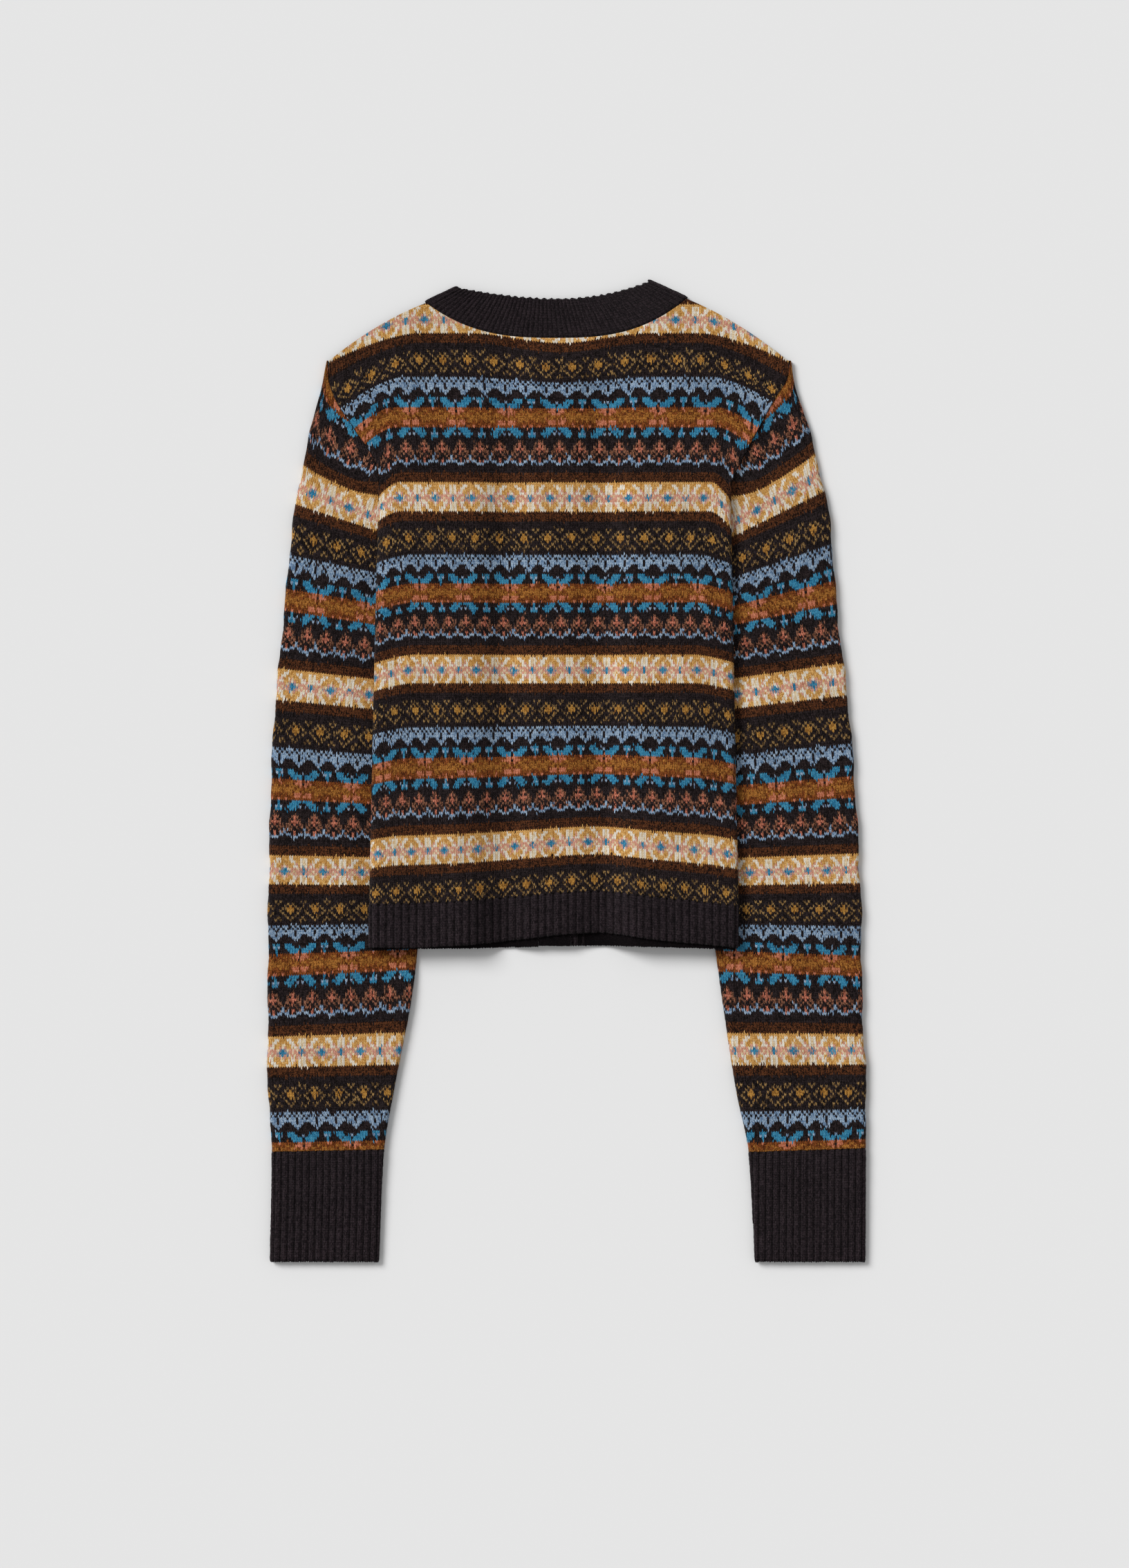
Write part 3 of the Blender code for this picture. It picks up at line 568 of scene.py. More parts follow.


# %% Height of the back
# soft ridges: middle, half length and half width, heading in degrees, rise
BACK_RIDGES = table(
    "x y long wide turn rise",
    (-86.0, -30.0, 105.0, 9.0, 91.0, 3.1),
    (-78.0, -120.0, 34.0, 9.0, 84.0, 1.6),
    (-40.0, -60.0, 60.0, 15.0, 70.0, 0.9),
    (104.0, 236.0, 34.0, 9.0, 118.0, 1.3),
    (-122.0, 240.0, 32.0, 9.0, 60.0, 1.2),
    (92.0, 60.0, 90.0, 12.0, 92.0, 0.8),
    (-118.0, 40.0, 100.0, 12.0, 88.0, 0.8),
    (60.0, -80.0, 50.0, 13.0, 104.0, 0.8),
    (-10.0, 304.0, 44.0, 12.0, 4.0, 0.8))
RIDGE_END = 9.0             # past three half widths a ridge has died out


def ridges(folds, x, y):
    """Height of the soft ridges at a point."""
    total = 0.0
    for fold in folds:
        turn = math.radians(fold["turn"])
        dx, dy = x - fold["x"], y - fold["y"]
        along = (dx * math.cos(turn) + dy * math.sin(turn)) / fold["long"]
        across = (dy * math.cos(turn) - dx * math.sin(turn)) / fold["wide"]
        spread = along * along + across * across
        if spread < RIDGE_END:
            total += fold["rise"] * math.exp(-spread)
    return total


def body_top(panel, x, y):
    """Height of a panel's face, before any soft ridges."""
    depth = depth_of(x, edge_x(side_of(x), y))
    height = lift_share(panel, x, y) * (1.0 - ease(*SIDE_SLOPE, depth))
    height *= SIDE_LIFT + HEM_LIFT * ease(*HEM_LIFT_Y, y)
    ridge = (1.0 - ease(*RIDGE_SLOPE, abs(x - CENTRE_X))) * (1.0 - ease(*RIDGE_END_Y, y))
    return SEAM_LIE + height + ridge * RIDGE_LIFT


print("body height at the middle %.1f mm, at the side %.1f mm"
      % (body_top("back", 0.0, 100.0), body_top("back", -120.0, 100.0)))


# %% Folding and trimming
def fold_body(x, y, inset, panel="back", under=0.0):
    """Lay a point of the flat pattern piece in its place; inset is how far below the outer face."""
    _, sign, start, past = from_fold(x, y)
    if past <= 0.0:
        swell = ridges(BACK_RIDGES, x, y) if panel == "back" else 0.0
        return Vector((x, y, body_top(panel, x, y) - under - inset + swell))
    top = body_top(panel, start, y)
    turn = math.pi * min(past, ROLL_ARC) / ROLL_ARC
    reach, rise = FOLD_REACH - under - inset, STACK / 2 - under - inset
    rolled = Vector((start + sign * reach * math.sin(turn), y, top - STACK / 2 + rise * math.cos(turn)))
    if past > ROLL_ARC:
        rolled.x = start - sign * (past - ROLL_ARC)
        rolled.z = body_top(panel, rolled.x, y) - STACK + under + inset
    flat = Vector((x, y, body_top(panel, x, y) - under - inset))
    return rolled.lerp(flat, ease(STRIP_TOP_Y, FOOT_Y, y))


def trim_body(x, y, panel="back"):
    """Keep a point inside the pattern piece; also says whether it was outside."""
    side, sign, start, past = from_fold(x, y)
    outside = False
    if y <= STRIP_TOP_Y:
        limit = ROLL_ARC + abs(start - depth_x(side, start + sign * FOLD_REACH, TUCK_DEPTH))
    else:
        limit = mix(ROLL_ARC / 2, FOLD_REACH, ease(STRIP_TOP_Y, FOOT_Y, y))
    if past > limit:
        outside = True
        if STRIP_TOP_Y < y < STRIP_TOP_Y + SNAP:
            y = STRIP_TOP_Y
        else:
            x = start + sign * limit
    top = top_line(panel, x)
    if y > top:
        outside, y = True, top
    return x, y, outside


print("tucked in at the side: %.0f mm" % TUCK_DEPTH)

# %% [markdown]
# ## Knitting a panel
# A bmesh grid is the needle: one column of faces to each half stitch, one row to each row of knitting.
# Every other line of points hangs most of a row lower, which turns the faces into the slanting legs of the
# Vs, and the cloth dips slightly at the edge of each column of stitches. Fuzzy wool never shows a chart
# cleanly, so one leg in seven takes its colour from the stitch beside it. The panel is then closed with a
# plain inner face, triangulated only as finely as its rim needs, because nobody sees the inside of a lying
# garment.

# %% Panel builder
DROP = 0.7                  # rows by which the middle of a stitch hangs below its edges
RIB_DROP = 0.3              # the same in felted rib, which shows its stitches less
UNEVEN = 0.14               # mm, how much one stitch may stand above or below the next
RAGGED = 0.3                # mm, how uneven the last row is
COLUMN_DIP = 0.22           # mm, how far the line between two columns of stitches lies below their middles
LEG_TINT = 0.55             # how far the two legs of a stitch may differ in shade
STRAY = 0.14                # share of legs that lie under fibres of the stitch next to them
INNER_STEP = 6              # the inner face has a point at every sixth line of the grid
MERGE = 1e-3                # mm, points of the outline this close are one


def close_wall(work, flat, lay, grid):
    """Give an open sheet an inner face and a rim. flat: vertex -> point on the pattern piece."""
    rim = [edge for edge in work.edges if edge.is_boundary]
    rim_verts = sorted({vert for edge in rim for vert in edge.verts}, key=lambda vert: vert.index)
    near_rim = set(rim_verts)
    for _ in range(2):
        near_rim |= {other for vert in near_rim for edge in vert.link_edges for other in edge.verts}
    middle = [vert for vert in flat if vert not in near_rim
              and grid[vert][0] % INNER_STEP == 0 and grid[vert][1] % INNER_STEP == 0]
    number = {vert: index for index, vert in enumerate(rim_verts)}
    loops = [(number[edge.verts[0]], number[edge.verts[1]]) for edge in rim]
    spots = [Vector(flat[vert][:2]) for vert in rim_verts + middle]
    points, lines, faces, _, line_source, _ = delaunay_2d_cdt(spots, loops, [], 1, MERGE)
    inner = [work.verts.new(lay(*point, WALL)) for point in points]
    for face in faces:
        work.faces.new([inner[corner] for corner in face])
    along_rim = [set() for _ in rim]
    for line, sources in zip(lines, line_source):
        for source in sources:
            if source < len(rim):
                along_rim[source].update(line)
    for edge, chain in zip(rim, along_rim):
        start, end = edge.verts
        spot = Vector(flat[start][:2])
        chain = sorted(chain, key=lambda index: (points[index] - spot).length)
        ring = [end, start] + [inner[index] for index in chain]
        if len(ring) > 2 and work.faces.get(ring) is None:
            work.faces.new(ring)
    for vert in [vert for vert in inner if not vert.link_faces]:
        work.verts.remove(vert)
    spans = [[point[axis] for point in points] for axis in (0, 1)]
    area = sum(area_tri(*(points[corner] for corner in face)) for face in faces)
    return {"flat": tuple((max(span) - min(span)) * MM for span in spans), "area": area * MM * MM}


def make_piece(work, name):
    """Turn a bmesh drawn in millimetres into an object in metres, with its faces pointing out."""
    bmesh.ops.recalc_face_normals(work, faces=work.faces)
    bmesh.ops.scale(work, vec=(MM, MM, MM), verts=work.verts)
    mesh = bpy.data.meshes.new(name)
    work.to_mesh(mesh)
    work.free()
    return add_object(name, mesh)


print("inner face: a point at every %d lines of the grid" % INNER_STEP)


# %% Stitches and their colours
def place_points(work, columns, rows, spread, trim, relief, draw):
    """Put the grid's points on the pattern piece; also gives each point's place in the grid."""
    flat, grid, outside = {}, {}, set()
    drop = RIB_DROP if relief else DROP
    for vert in work.verts:
        i = round((vert.co.x + 1.0) / 2.0 * (len(columns) - 1))
        j = round((vert.co.y + 1.0) / 2.0 * (len(rows) - 1))
        wale, row = columns[i], rows[j]
        middle = 1.0 - abs(2.0 * (wale % 1.0) - 1.0)
        x, y, out = trim(*spread(wale, row - drop * middle))
        if out:
            outside.add(vert)
        dip = relief(wale, row) if relief else COLUMN_DIP * (1.0 - middle)
        ragged = draw.uniform(-RAGGED, RAGGED) if j == 0 else 0.0
        flat[vert] = (x, y + ragged, dip + draw.uniform(-UNEVEN, UNEVEN))
        grid[vert] = (i, j)
    doomed = [face for face in work.faces if all(vert in outside for vert in face.verts)]
    bmesh.ops.delete(work, geom=doomed, context="FACES")
    return {vert: spot for vert, spot in flat.items() if vert.is_valid}, grid


def dye_faces(work, columns, rows, grid, yarn, draw):
    """Give each leg of a stitch its yarn, its tint and its place in the stitch."""
    yarn_layer = work.faces.layers.float["yarn"]
    tint_layer = work.faces.layers.float["tint"]
    uv_layer = work.loops.layers.uv["stitch"]
    tints = {}
    for face in work.faces:
        i = min(grid[vert][0] for vert in face.verts)
        j = min(grid[vert][1] for vert in face.verts)
        stitch = (math.floor(columns[i] + TINY), j)
        source = stitch
        if draw.random() < STRAY:
            source = (stitch[0] + draw.choice((-1, 0, 1)), stitch[1] + draw.choice((-1, 0, 1)))
        face[yarn_layer] = YARN_PLACE[yarn(*source)]
        if stitch not in tints:
            tints[stitch] = draw.random()
        face[tint_layer] = mix(tints[stitch], draw.random(), LEG_TINT)
        face.smooth = True
        for loop in face.loops:
            a, b = grid[loop.vert]
            loop[uv_layer].uv = (2.0 * columns[a], rows[b])


def knit(name, columns, rows, spread, trim, lay, yarn, relief=None, seed=1):
    """Knit one panel: columns and rows are places in stitches; yarn gives a face's yarn letter."""
    work = bmesh.new()
    bmesh.ops.create_grid(work, x_segments=len(columns) - 1, y_segments=len(rows) - 1, size=1.0)
    work.faces.layers.float.new("yarn")
    work.faces.layers.float.new("tint")
    # how far each point is sunk below the face; the wool shader paints shade from it
    sunk_layer = work.verts.layers.float.new("sunk")
    work.loops.layers.uv.new("stitch")
    draw = random.Random(seed)
    flat, grid = place_points(work, columns, rows, spread, trim, relief, draw)
    dye_faces(work, columns, rows, grid, yarn, draw)
    for vert, (x, y, dip) in flat.items():
        vert.co = lay(x, y, dip)
        vert.co.z = max(vert.co.z, 0.0)
        vert[sunk_layer] = max(0.0, dip)
    work.verts.index_update()
    cut = close_wall(work, flat, lay, grid)
    piece = make_piece(work, name)
    count = sum(len(face.vertices) - 2 for face in piece.data.polygons)
    print("%s: %d triangles, cut %.0f x %.0f mm, %.0f cm2"
          % (name, count, cut["flat"][0] / MM, cut["flat"][1] / MM, cut["area"] * 1e4))
    return piece


def dress(piece, slot, node):
    """Finish a piece: its yarn, its body, and the solid it stands for, which is hidden."""
    piece.data.materials.append(WOOLS[slot])
    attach(piece, "root")
    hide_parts(node)


# %% [markdown]
# ## The back
# The rows of the back droop in an arc at the hem, sag under the neckband and bend down at the armholes,
# and the columns of stitches spread towards the yoke. Those are the two things that stop a knitted mesh
# from looking like printed paper, so each has its own small table.

# %% Back: rows and columns
# row of knitting up from the rib: height at the middle of the back, mm
row_y = curves(
    "row y",
    (0.0, -92.2),
    (16.0, -63.9),
    (34.0, -31.8),
    (70.0, 34.6),
    (106.0, 99.9),
    (142.0, 165.6),
    (178.0, 232.6),
    (214.0, 302.2),
    (232.0, 336.2),
    (262.0, 391.0))["y"]
# how rows bend down at the sides: drop at each edge, and how far in that reaches
row_end = curves(
    "y left right reach",
    (-95.0, 1.0, 1.0, 20.0),
    (69.0, 6.5, 6.0, 30.0),
    (165.0, 6.5, 8.0, 26.0),
    (210.0, 9.0, 15.0, 14.0),
    (242.0, 16.0, 16.0, 22.0),
    (270.0, 24.0, 22.0, 35.0),
    (297.0, 30.0, 25.0, 54.0),
    (317.0, 32.0, 32.0, 66.0),
    (336.0, 22.0, 22.0, 68.0))
# how the columns of stitches spread, against their width at the chest
column_spread = curves(
    "y spread",
    (-95.0, 0.935),
    (-56.0, 0.93),
    (77.0, 0.95),
    (210.0, 1.0),
    (270.0, 1.03),
    (316.0, 1.07),
    (370.0, 1.09))["spread"]
# x of stitch 0, then mm from one column to the next, narrower from the 42nd column out
AXIS_X, INNER_PITCH, OUTER_PITCH, PITCH_TURN = 1.1, 1.88, 1.70, 42.0
CHART_AT_RIB = 27           # chart row just above the hem rib
ARC_Y = (77.0, -100.0)      # the hem's arc fades out between these heights
NECK_SAG, SAG_X, SAG_REACH, SAG_Y = 7.6, -5.5, 70.0, (262.0, 332.0)
HEM_HIGH_X = 20.0           # where the hem's arc is highest
HEM_MIDDLE = hem_y["rib"](HEM_HIGH_X)
FIRST_ROW_HIGH = 1.75       # mm, height of the row next to a rib
END_BEND = 1.5              # how suddenly the rows bend down at the sides
HIDDEN_STEP = 3             # where nobody looks, one face spans three columns of stitches
BODY_ROWS = steps(0, 267, 1)
yarn_body = partial(yarn_at, "body", CHART_AT_RIB)
print("rows in the back:", len(BODY_ROWS) - 1)


# %% Back: where a stitch lies
def plan_x(x, y):
    """Where a point of the flat pattern piece ends up from left to right."""
    _, sign, start, past = from_fold(x, y)
    return x if past < ROLL_ARC / 2 else start - sign * (past - ROLL_ARC)


def spread_body(wale, row):
    """Where a stitch lies on the flat pattern piece."""
    y = row_y(row) if row >= 0.0 else row_y(0.0) + row * FIRST_ROW_HIGH
    off = INNER_PITCH * min(abs(wale), PITCH_TURN) + OUTER_PITCH * max(0.0, abs(wale) - PITCH_TURN)
    x = AXIS_X + math.copysign(off * column_spread(y), wale)
    side = side_of(x)
    arc = (hem_y["rib"](plan_x(x, y)) - HEM_MIDDLE) * ease(*ARC_Y, y)
    near = max(0.0, 1.0 - max(0.0, (edge_x(side, y) - x) * SIGN[side]) / row_end["reach"](y))
    drop = row_end[side](y) * near ** END_BEND
    sag = NECK_SAG * ease(*SAG_Y, y) * (1.0 - ease(0.0, SAG_REACH, abs(x - SAG_X)))
    return x, y + arc - drop - sag


# %% Knit the back
TUCK_FROM, TUCK_TO = 100, 151           # columns of stitches from the middle that lie tucked under
tuck_left = steps(-TUCK_TO, -TUCK_FROM, HIDDEN_STEP)[:-1]
tuck_right = [-step for step in reversed(tuck_left)]
back_columns = tuck_left + steps(-TUCK_FROM, TUCK_FROM, 0.5) + tuck_right
back = knit("back_panel", back_columns, BODY_ROWS, spread_body, trim_body, fold_body, yarn_body, seed=11)
dress(back, "patterned_knit", "back")

# %% [markdown]
# ## The sleeves
# Each sleeve is one piece, wrapped round from the seam on its inner edge and lying flat as a tube. It is
# pressed thin under the body and puffs up again where it comes out. The rows of its cap lean over towards
# the armhole and the seam cuts across them, as in any set-in sleeve. Columns of stitches follow the outer
# edge, so they are counted from there.

# %% Sleeves
# distance of each sleeve's outer and inner edge from the line x = 0
sleeve_x = curves(
    "y left left_in right right_in",
    (314.5, 186.3, 72.0, 173.3, 70.0),
    (298.0, 189.0, 72.0, 175.5, 70.0),
    (262.0, 197.2, 72.0, 186.0, 70.0),
    (198.0, 209.3, 74.5, 200.9, 73.5),
    (124.0, 216.9, 83.5, 207.4, 82.0),
    (28.0, 225.6, 96.0, 218.2, 94.0),
    (-95.0, 229.2, 110.5, 225.6, 108.5),
    (-172.0, 229.6, 118.7, 226.6, 118.6),
    (-247.0, 229.7, 133.0, 229.8, 130.0),
    (-292.5, 226.6, 140.4, 229.4, 139.4),
    (-377.1, 228.0, 144.6, 229.0, 144.2))
# row up from the cuff: height at the outer edge, and how far rows lean
sleeve_row = curves(
    "row left left_lean right right_lean",
    (0.0, -292.8, -0.02, -289.9, 0.034),
    (40.0, -215.7, -0.024, -213.5, 0.0),
    (58.0, -179.7, -0.053, -177.5, -0.02),
    (76.0, -140.6, -0.032, -141.7, -0.034),
    (94.0, -108.3, -0.006, -108.1, 0.0),
    (112.0, -75.8, 0.015, -74.5, 0.03),
    (136.0, -29.4, 0.042, -28.1, 0.06),
    (160.0, 18.8, 0.08, 21.3, 0.1),
    (184.0, 67.1, 0.103, 70.8, 0.125),
    (208.0, 115.2, 0.147, 119.7, 0.179),
    (232.0, 166.1, 0.2, 174.8, 0.33),
    (256.0, 218.8, 0.36, 230.0, 0.51))
# last row before the seam, from the shoulder tip to the underarm
cap_row = curves(
    "share row",
    (0.0, 290.0),
    (0.2, 288.0),
    (0.45, 284.5),
    (0.7, 278.0),
    (0.85, 271.0),
    (1.0, 264.5))["row"]
CAP_FROM, CHART_AT_CUFF = 256.0, 45     # row where the cap starts; chart row at the cuff
SLEEVE_PITCH = 1.865        # mm from one column of stitches to the next
RIM, RIM_ARC = 3.5, 5.5     # radius of the tube's edge, and the cloth that goes round a quarter of it
PUFFED, PRESSED, CUFF_THICK = 7.0, 4.6, 6.2
BESIDE_BODY, BELOW_HEM = (2.0, 20.0), (-140.0, -178.0)      # where a sleeve puffs up again
PAST_FOOT = (-3.5, 0.3)     # mm past the armhole's foot over which a sleeve rises to its seam
UNDER_FOOT = -6.0           # mm past the foot at which its hidden part ends below the armhole
SEAM_CLEAR = 0.2            # mm, the two edges at the inner seam stop this short of it
SLEEVE_SNAP = 3.0           # mm, as SNAP on the body
SLEEVE_TOP_Y, CUFF_SEAM_Y, CUFF_END_Y = 180.0, -292.5, -377.1
RIDGE_FADE_Y, WAVE_FADE_Y = (210.0, 250.0), (270.0, TIP_Y)
WAVE_START = 25.0           # mm above the cuff, the height over which the waves begin
# soft folds, listed as on the back
SLEEVE_RIDGES = table(
    "x y long wide turn rise",
    (-207.0, 196.0, 34.0, 8.0, 74.0, 1.0),
    (-190.0, 96.0, 46.0, 8.0, 82.0, 0.9),
    (-206.0, -20.0, 44.0, 9.0, 97.0, 1.0),
    (-176.0, -206.0, 44.0, 10.0, 80.0, 1.1),
    (-204.0, -250.0, 34.0, 8.0, 95.0, 0.8),
    (184.0, 214.0, 30.0, 8.0, 112.0, 1.0),
    (196.0, 118.0, 44.0, 9.0, 98.0, 1.1),
    (186.0, -10.0, 50.0, 8.0, 86.0, 0.9),
    (204.0, -110.0, 40.0, 8.0, 94.0, 0.9),
    (172.0, -212.0, 44.0, 10.0, 102.0, 1.1))
# how the outer edge of a sleeve wanders: length and size, mm
EDGE_WAVES = table(
    "length left right",
    (61.0, 0.5, 0.65),
    (23.0, 0.2, 0.25))
WAVE_REACH = 30.0           # the edge's waves fade out this far in
SLEEVE_ROWS = steps(0, 292, 1)
print("sleeve rows:", len(SLEEVE_ROWS) - 1)


# %% The flattened tube
def sleeve_wide(side, y):
    """Cloth from the outer edge to the seam on the inner edge, round one half of the tube."""
    return sleeve_x[side](y) - sleeve_x[side + "_in"](y) + 2.0 * (RIM_ARC - RIM)


def sleeve_form(side, x, y):
    """Underside and thickness of the flattened tube, and how free of the body it lies."""
    beyond = (x - edge_x(side, min(y, FOOT_Y))) * SIGN[side]
    free = max(ease(*BESIDE_BODY, beyond), ease(*BELOW_HEM, y))
    thick = mix(PRESSED, PUFFED, free)
    lift = 0.0
    if y > SLEEVE_TOP_Y:
        tip = armhole_x[side](TIP_Y)
        step = clamp((x - tip) / (SIDES[side]["foot_x"] - tip))
        climb = 1.0 - unease(step)
        top = mix(FOOT_Y, TIP_Y, climb)
        blend = min(1.0, (y - SLEEVE_TOP_Y) / (top - SLEEVE_TOP_Y))
        seam = SEAM_LIE + SIDE_LIFT * FOOT_SHARE * ease(0.0, 1.0, 1.0 - climb)
        visible = ease(*PAST_FOOT, (x - SIDES[side]["foot_x"]) * SIGN[side])
        lift = (seam - 2 * WALL - GAP) * blend * blend * visible
        thick = mix(thick, 2 * WALL + GAP, blend)
    if y < CUFF_SEAM_Y:
        thick = mix(PUFFED, CUFF_THICK, (y - CUFF_SEAM_Y) / (CUFF_END_Y - CUFF_SEAM_Y))
    return lift, thick, free


# %% Where a sleeve's stitch lies
def spread_sleeve(side, wale, row):
    """How far round from the outer edge a stitch lies, and how high."""
    along = abs(wale) * SLEEVE_PITCH
    line = min(row, CAP_FROM)
    y = sleeve_row[side](line) - sleeve_row[side + "_lean"](line) * along
    if row > CAP_FROM:
        base_edge = sleeve_x[side](sleeve_row[side](CAP_FROM))
        share = along / (base_edge - abs(SIDES[side]["foot_x"]) + RIM_ARC - RIM)
        part = min(1.0, share)
        top_y = mix(TIP_Y, FOOT_Y, part)
        top_along = sleeve_x[side](top_y) - abs(armhole_x[side](top_y)) + (RIM_ARC - RIM) * part
        climb = (row - CAP_FROM) / (cap_row(part) - CAP_FROM)
        y = mix(y, top_y, climb)
        along = mix(along, top_along * (share / part if part else 1.0), climb)
    return math.copysign(along, wale), y


def trim_sleeve(side, along, y):
    """Keep a point on the tube; also says whether it was outside."""
    outside = y > TIP_Y + TINY
    y = min(y, TIP_Y)
    limit = sleeve_wide(side, y) - SEAM_CLEAR
    if y > FOOT_Y:
        limit = sleeve_x[side](y) - abs(armhole_x[side](y)) + RIM_ARC - RIM - GAP
    elif y > STRIP_TOP_Y - WALL:
        level = abs(SIDES[side]["foot_x"]) + mix(UNDER_FOOT, GAP, ease(STRIP_TOP_Y - WALL, FOOT_Y, y))
        limit = sleeve_x[side](y) - level + RIM_ARC - RIM
    if abs(along) > limit:
        outside = True
        if STRIP_TOP_Y - WALL < y < STRIP_TOP_Y + SLEEVE_SNAP and limit > 0:
            y = STRIP_TOP_Y - WALL
            limit = min(abs(along), sleeve_wide(side, y) - SEAM_CLEAR)
        along = math.copysign(limit, along)
    return along, y, outside


# %% Laying a sleeve
def edge_wave(side, y):
    """Sideways wander of a sleeve's outer edge, none at the cuff and the shoulder."""
    total = sum(wave[side] * math.sin(2.0 * math.pi * y / wave["length"]) for wave in EDGE_WAVES)
    return total * ease(CUFF_SEAM_Y, CUFF_SEAM_Y + WAVE_START, y) * (1.0 - ease(*WAVE_FADE_Y, y))


def lay_sleeve(side, along, y, inset):
    """Lay a point of the tube in its place; inset is how far below its outer face."""
    reach = abs(along)
    wide = sleeve_x[side](y) - sleeve_x[side + "_in"](y)
    flat_run = wide - 2.0 * RIM
    if reach < RIM_ARC:
        turn = reach / RIM_ARC * math.pi / 2
        over, rise = RIM - (RIM - inset) * math.cos(turn), math.sin(turn)
    elif reach < RIM_ARC + flat_run:
        over, rise = RIM + reach - RIM_ARC, 1.0
    else:
        turn = min(1.0, (reach - RIM_ARC - flat_run) / RIM_ARC) * math.pi / 2
        over, rise = wide - RIM + (RIM - inset) * math.sin(turn), math.cos(turn)
    x = SIGN[side] * (sleeve_x[side](y) - over)
    lift, thick, free = sleeve_form(side, x, y)
    height = lift + thick / 2 + math.copysign((thick / 2 - inset) * rise, along)
    if along > 0.0:
        height += ridges(SLEEVE_RIDGES, x, y) * free * rise * (1.0 - ease(*RIDGE_FADE_Y, y))
    x += SIGN[side] * edge_wave(side, y) * (1.0 - ease(0.0, WAVE_REACH, over))
    return Vector((x, y, height))


print("tube of the sleeve: %.0f mm thick where it lies free" % PUFFED)


# %% Knit the sleeves
SLEEVE_SHOWN = 66           # columns of stitches from the outer edge to the inner edge at the hem
SLEEVE_TURN = 4             # columns of fine faces that go on round the outer edge
SLEEVE_HALF = 78            # columns in half the tube at its widest
under_columns = [float(step) for step in range(-SLEEVE_HALF, -SLEEVE_TURN, HIDDEN_STEP)]
shown_columns = steps(-SLEEVE_TURN, SLEEVE_SHOWN, 0.5)
hidden_columns = [float(step) for step in range(SLEEVE_SHOWN + 2, SLEEVE_HALF + 2, HIDDEN_STEP)]
sleeve_columns = under_columns + shown_columns + hidden_columns
for side in SIDES:
    sleeve = knit("sleeve_%s_panel" % side, sleeve_columns, SLEEVE_ROWS, partial(spread_sleeve, side),
                  partial(trim_sleeve, side), partial(lay_sleeve, side),
                  partial(yarn_at, side, CHART_AT_CUFF), seed=21 + PARTS[side])
    dress(sleeve, "patterned_knit", "sleeve_" + side)

# %% [markdown]
# ## The fronts
# Both fronts lie under the back with their right side to the floor, so their outer face is the lower one.
# They are knitted to the same rows as the back, since the bands have to meet at the side seams. Nobody
# sees the fronts from above, so a stitch is one face here instead of two.

# %% Fronts
PITCH = WALL + GAP
FRONT_EDGE = 12.55          # each front stops this far from the centre line, at its button band


def lay_front(side, x, y, inset):
    point = fold_body(x, y, WALL - inset, "front", PITCH)
    if side == "right":
        point.z -= PITCH * (1.0 - ease(*RIDGE_SLOPE, x - CENTRE_X)) * (point.x == x)
    return point


def trim_front(side, x, y):
    off = (x - CENTRE_X) * SIGN[side]
    x, y, outside = trim_body(CENTRE_X + SIGN[side] * max(FRONT_EDGE, off), y, "front")
    return x, y, outside or off < FRONT_EDGE


FRONT_WALES = {"left": (-TUCK_TO, -4), "right": (-10, TUCK_TO)}     # first and last column of stitches
for side in SIDES:
    front = knit("front_%s_panel" % side, steps(*FRONT_WALES[side], 1), BODY_ROWS, spread_body,
                 partial(trim_front, side), partial(lay_front, side), yarn_body, seed=31 + PARTS[side])
    dress(front, "patterned_knit", "front_" + side)

# %% [markdown]
# ## The ribs
# Hem, cuffs, neckband and button bands are two-by-two rib: two columns of stitches stand forward and one
# sinks back between them, because a rib pulls its purl stitches out of sight. The same panel builder
# makes them, with a relief six half stitches wide instead of a flat face.

# %% Rib relief
RIB_UNIT = 3                # columns of stitches in one rib: two that stand forward, one sunk
RIB_DEPTH = (0.2, -0.35, -0.2, -0.35, 0.2, 1.05)       # mm below the face, at each half column
EDGE_ROLL = 0.5             # mm by which the last row curls away from the face
PICK_UP = 0.5               # mm by which a rib reaches in behind the cloth it was picked up from


def rib_relief(rows, share, wale, row):
    """Depth below the face; share is how strongly the ribs stand out."""
    place = wale * 2.0 % (2 * RIB_UNIT)
    first = int(place)
    depth = mix(RIB_DEPTH[first], RIB_DEPTH[(first + 1) % len(RIB_DEPTH)], place - first)
    depth = depth * share + PICK_UP * max(0.0, row - rows[-2]) / (rows[-1] - rows[-2])
    return depth + EDGE_ROLL * max(0.0, 1.0 - row) ** 2


def knit_rib(name, columns, rows, spread, trim, lay, seed, share=1.0):
    """Knit one panel of rib, all in the darkest yarn."""
    return knit(name, columns, rows, spread, trim, lay, lambda wale, row: ".",
                relief=partial(rib_relief, rows, share), seed=seed)


print("mm from the face to the bottom of a rib: %.2f" % max(RIB_DEPTH))


# %% Hem ribs
HEM_RIB = 5.8               # mm from one rib to the next
HEM_ROWS = steps(0, 18, 1)
HEM_SHOWN, HEM_UNDER = 78, 118          # columns from the centre to the fold and to the side seam
HEM_OVERLAP = 2.0           # columns by which each front's rib is knitted past the centre, then trimmed
HEM_MIDDLE_Y = -115.0       # middle of the rib, where its columns are placed from left to right


def spread_hem(line, wale, row):
    x = CENTRE_X + wale * HEM_RIB / RIB_UNIT
    plan = plan_x(x, HEM_MIDDLE_Y)
    return x, mix(hem_y[line](plan), hem_y["rib"](plan) + PICK_UP, row / HEM_ROWS[-1])


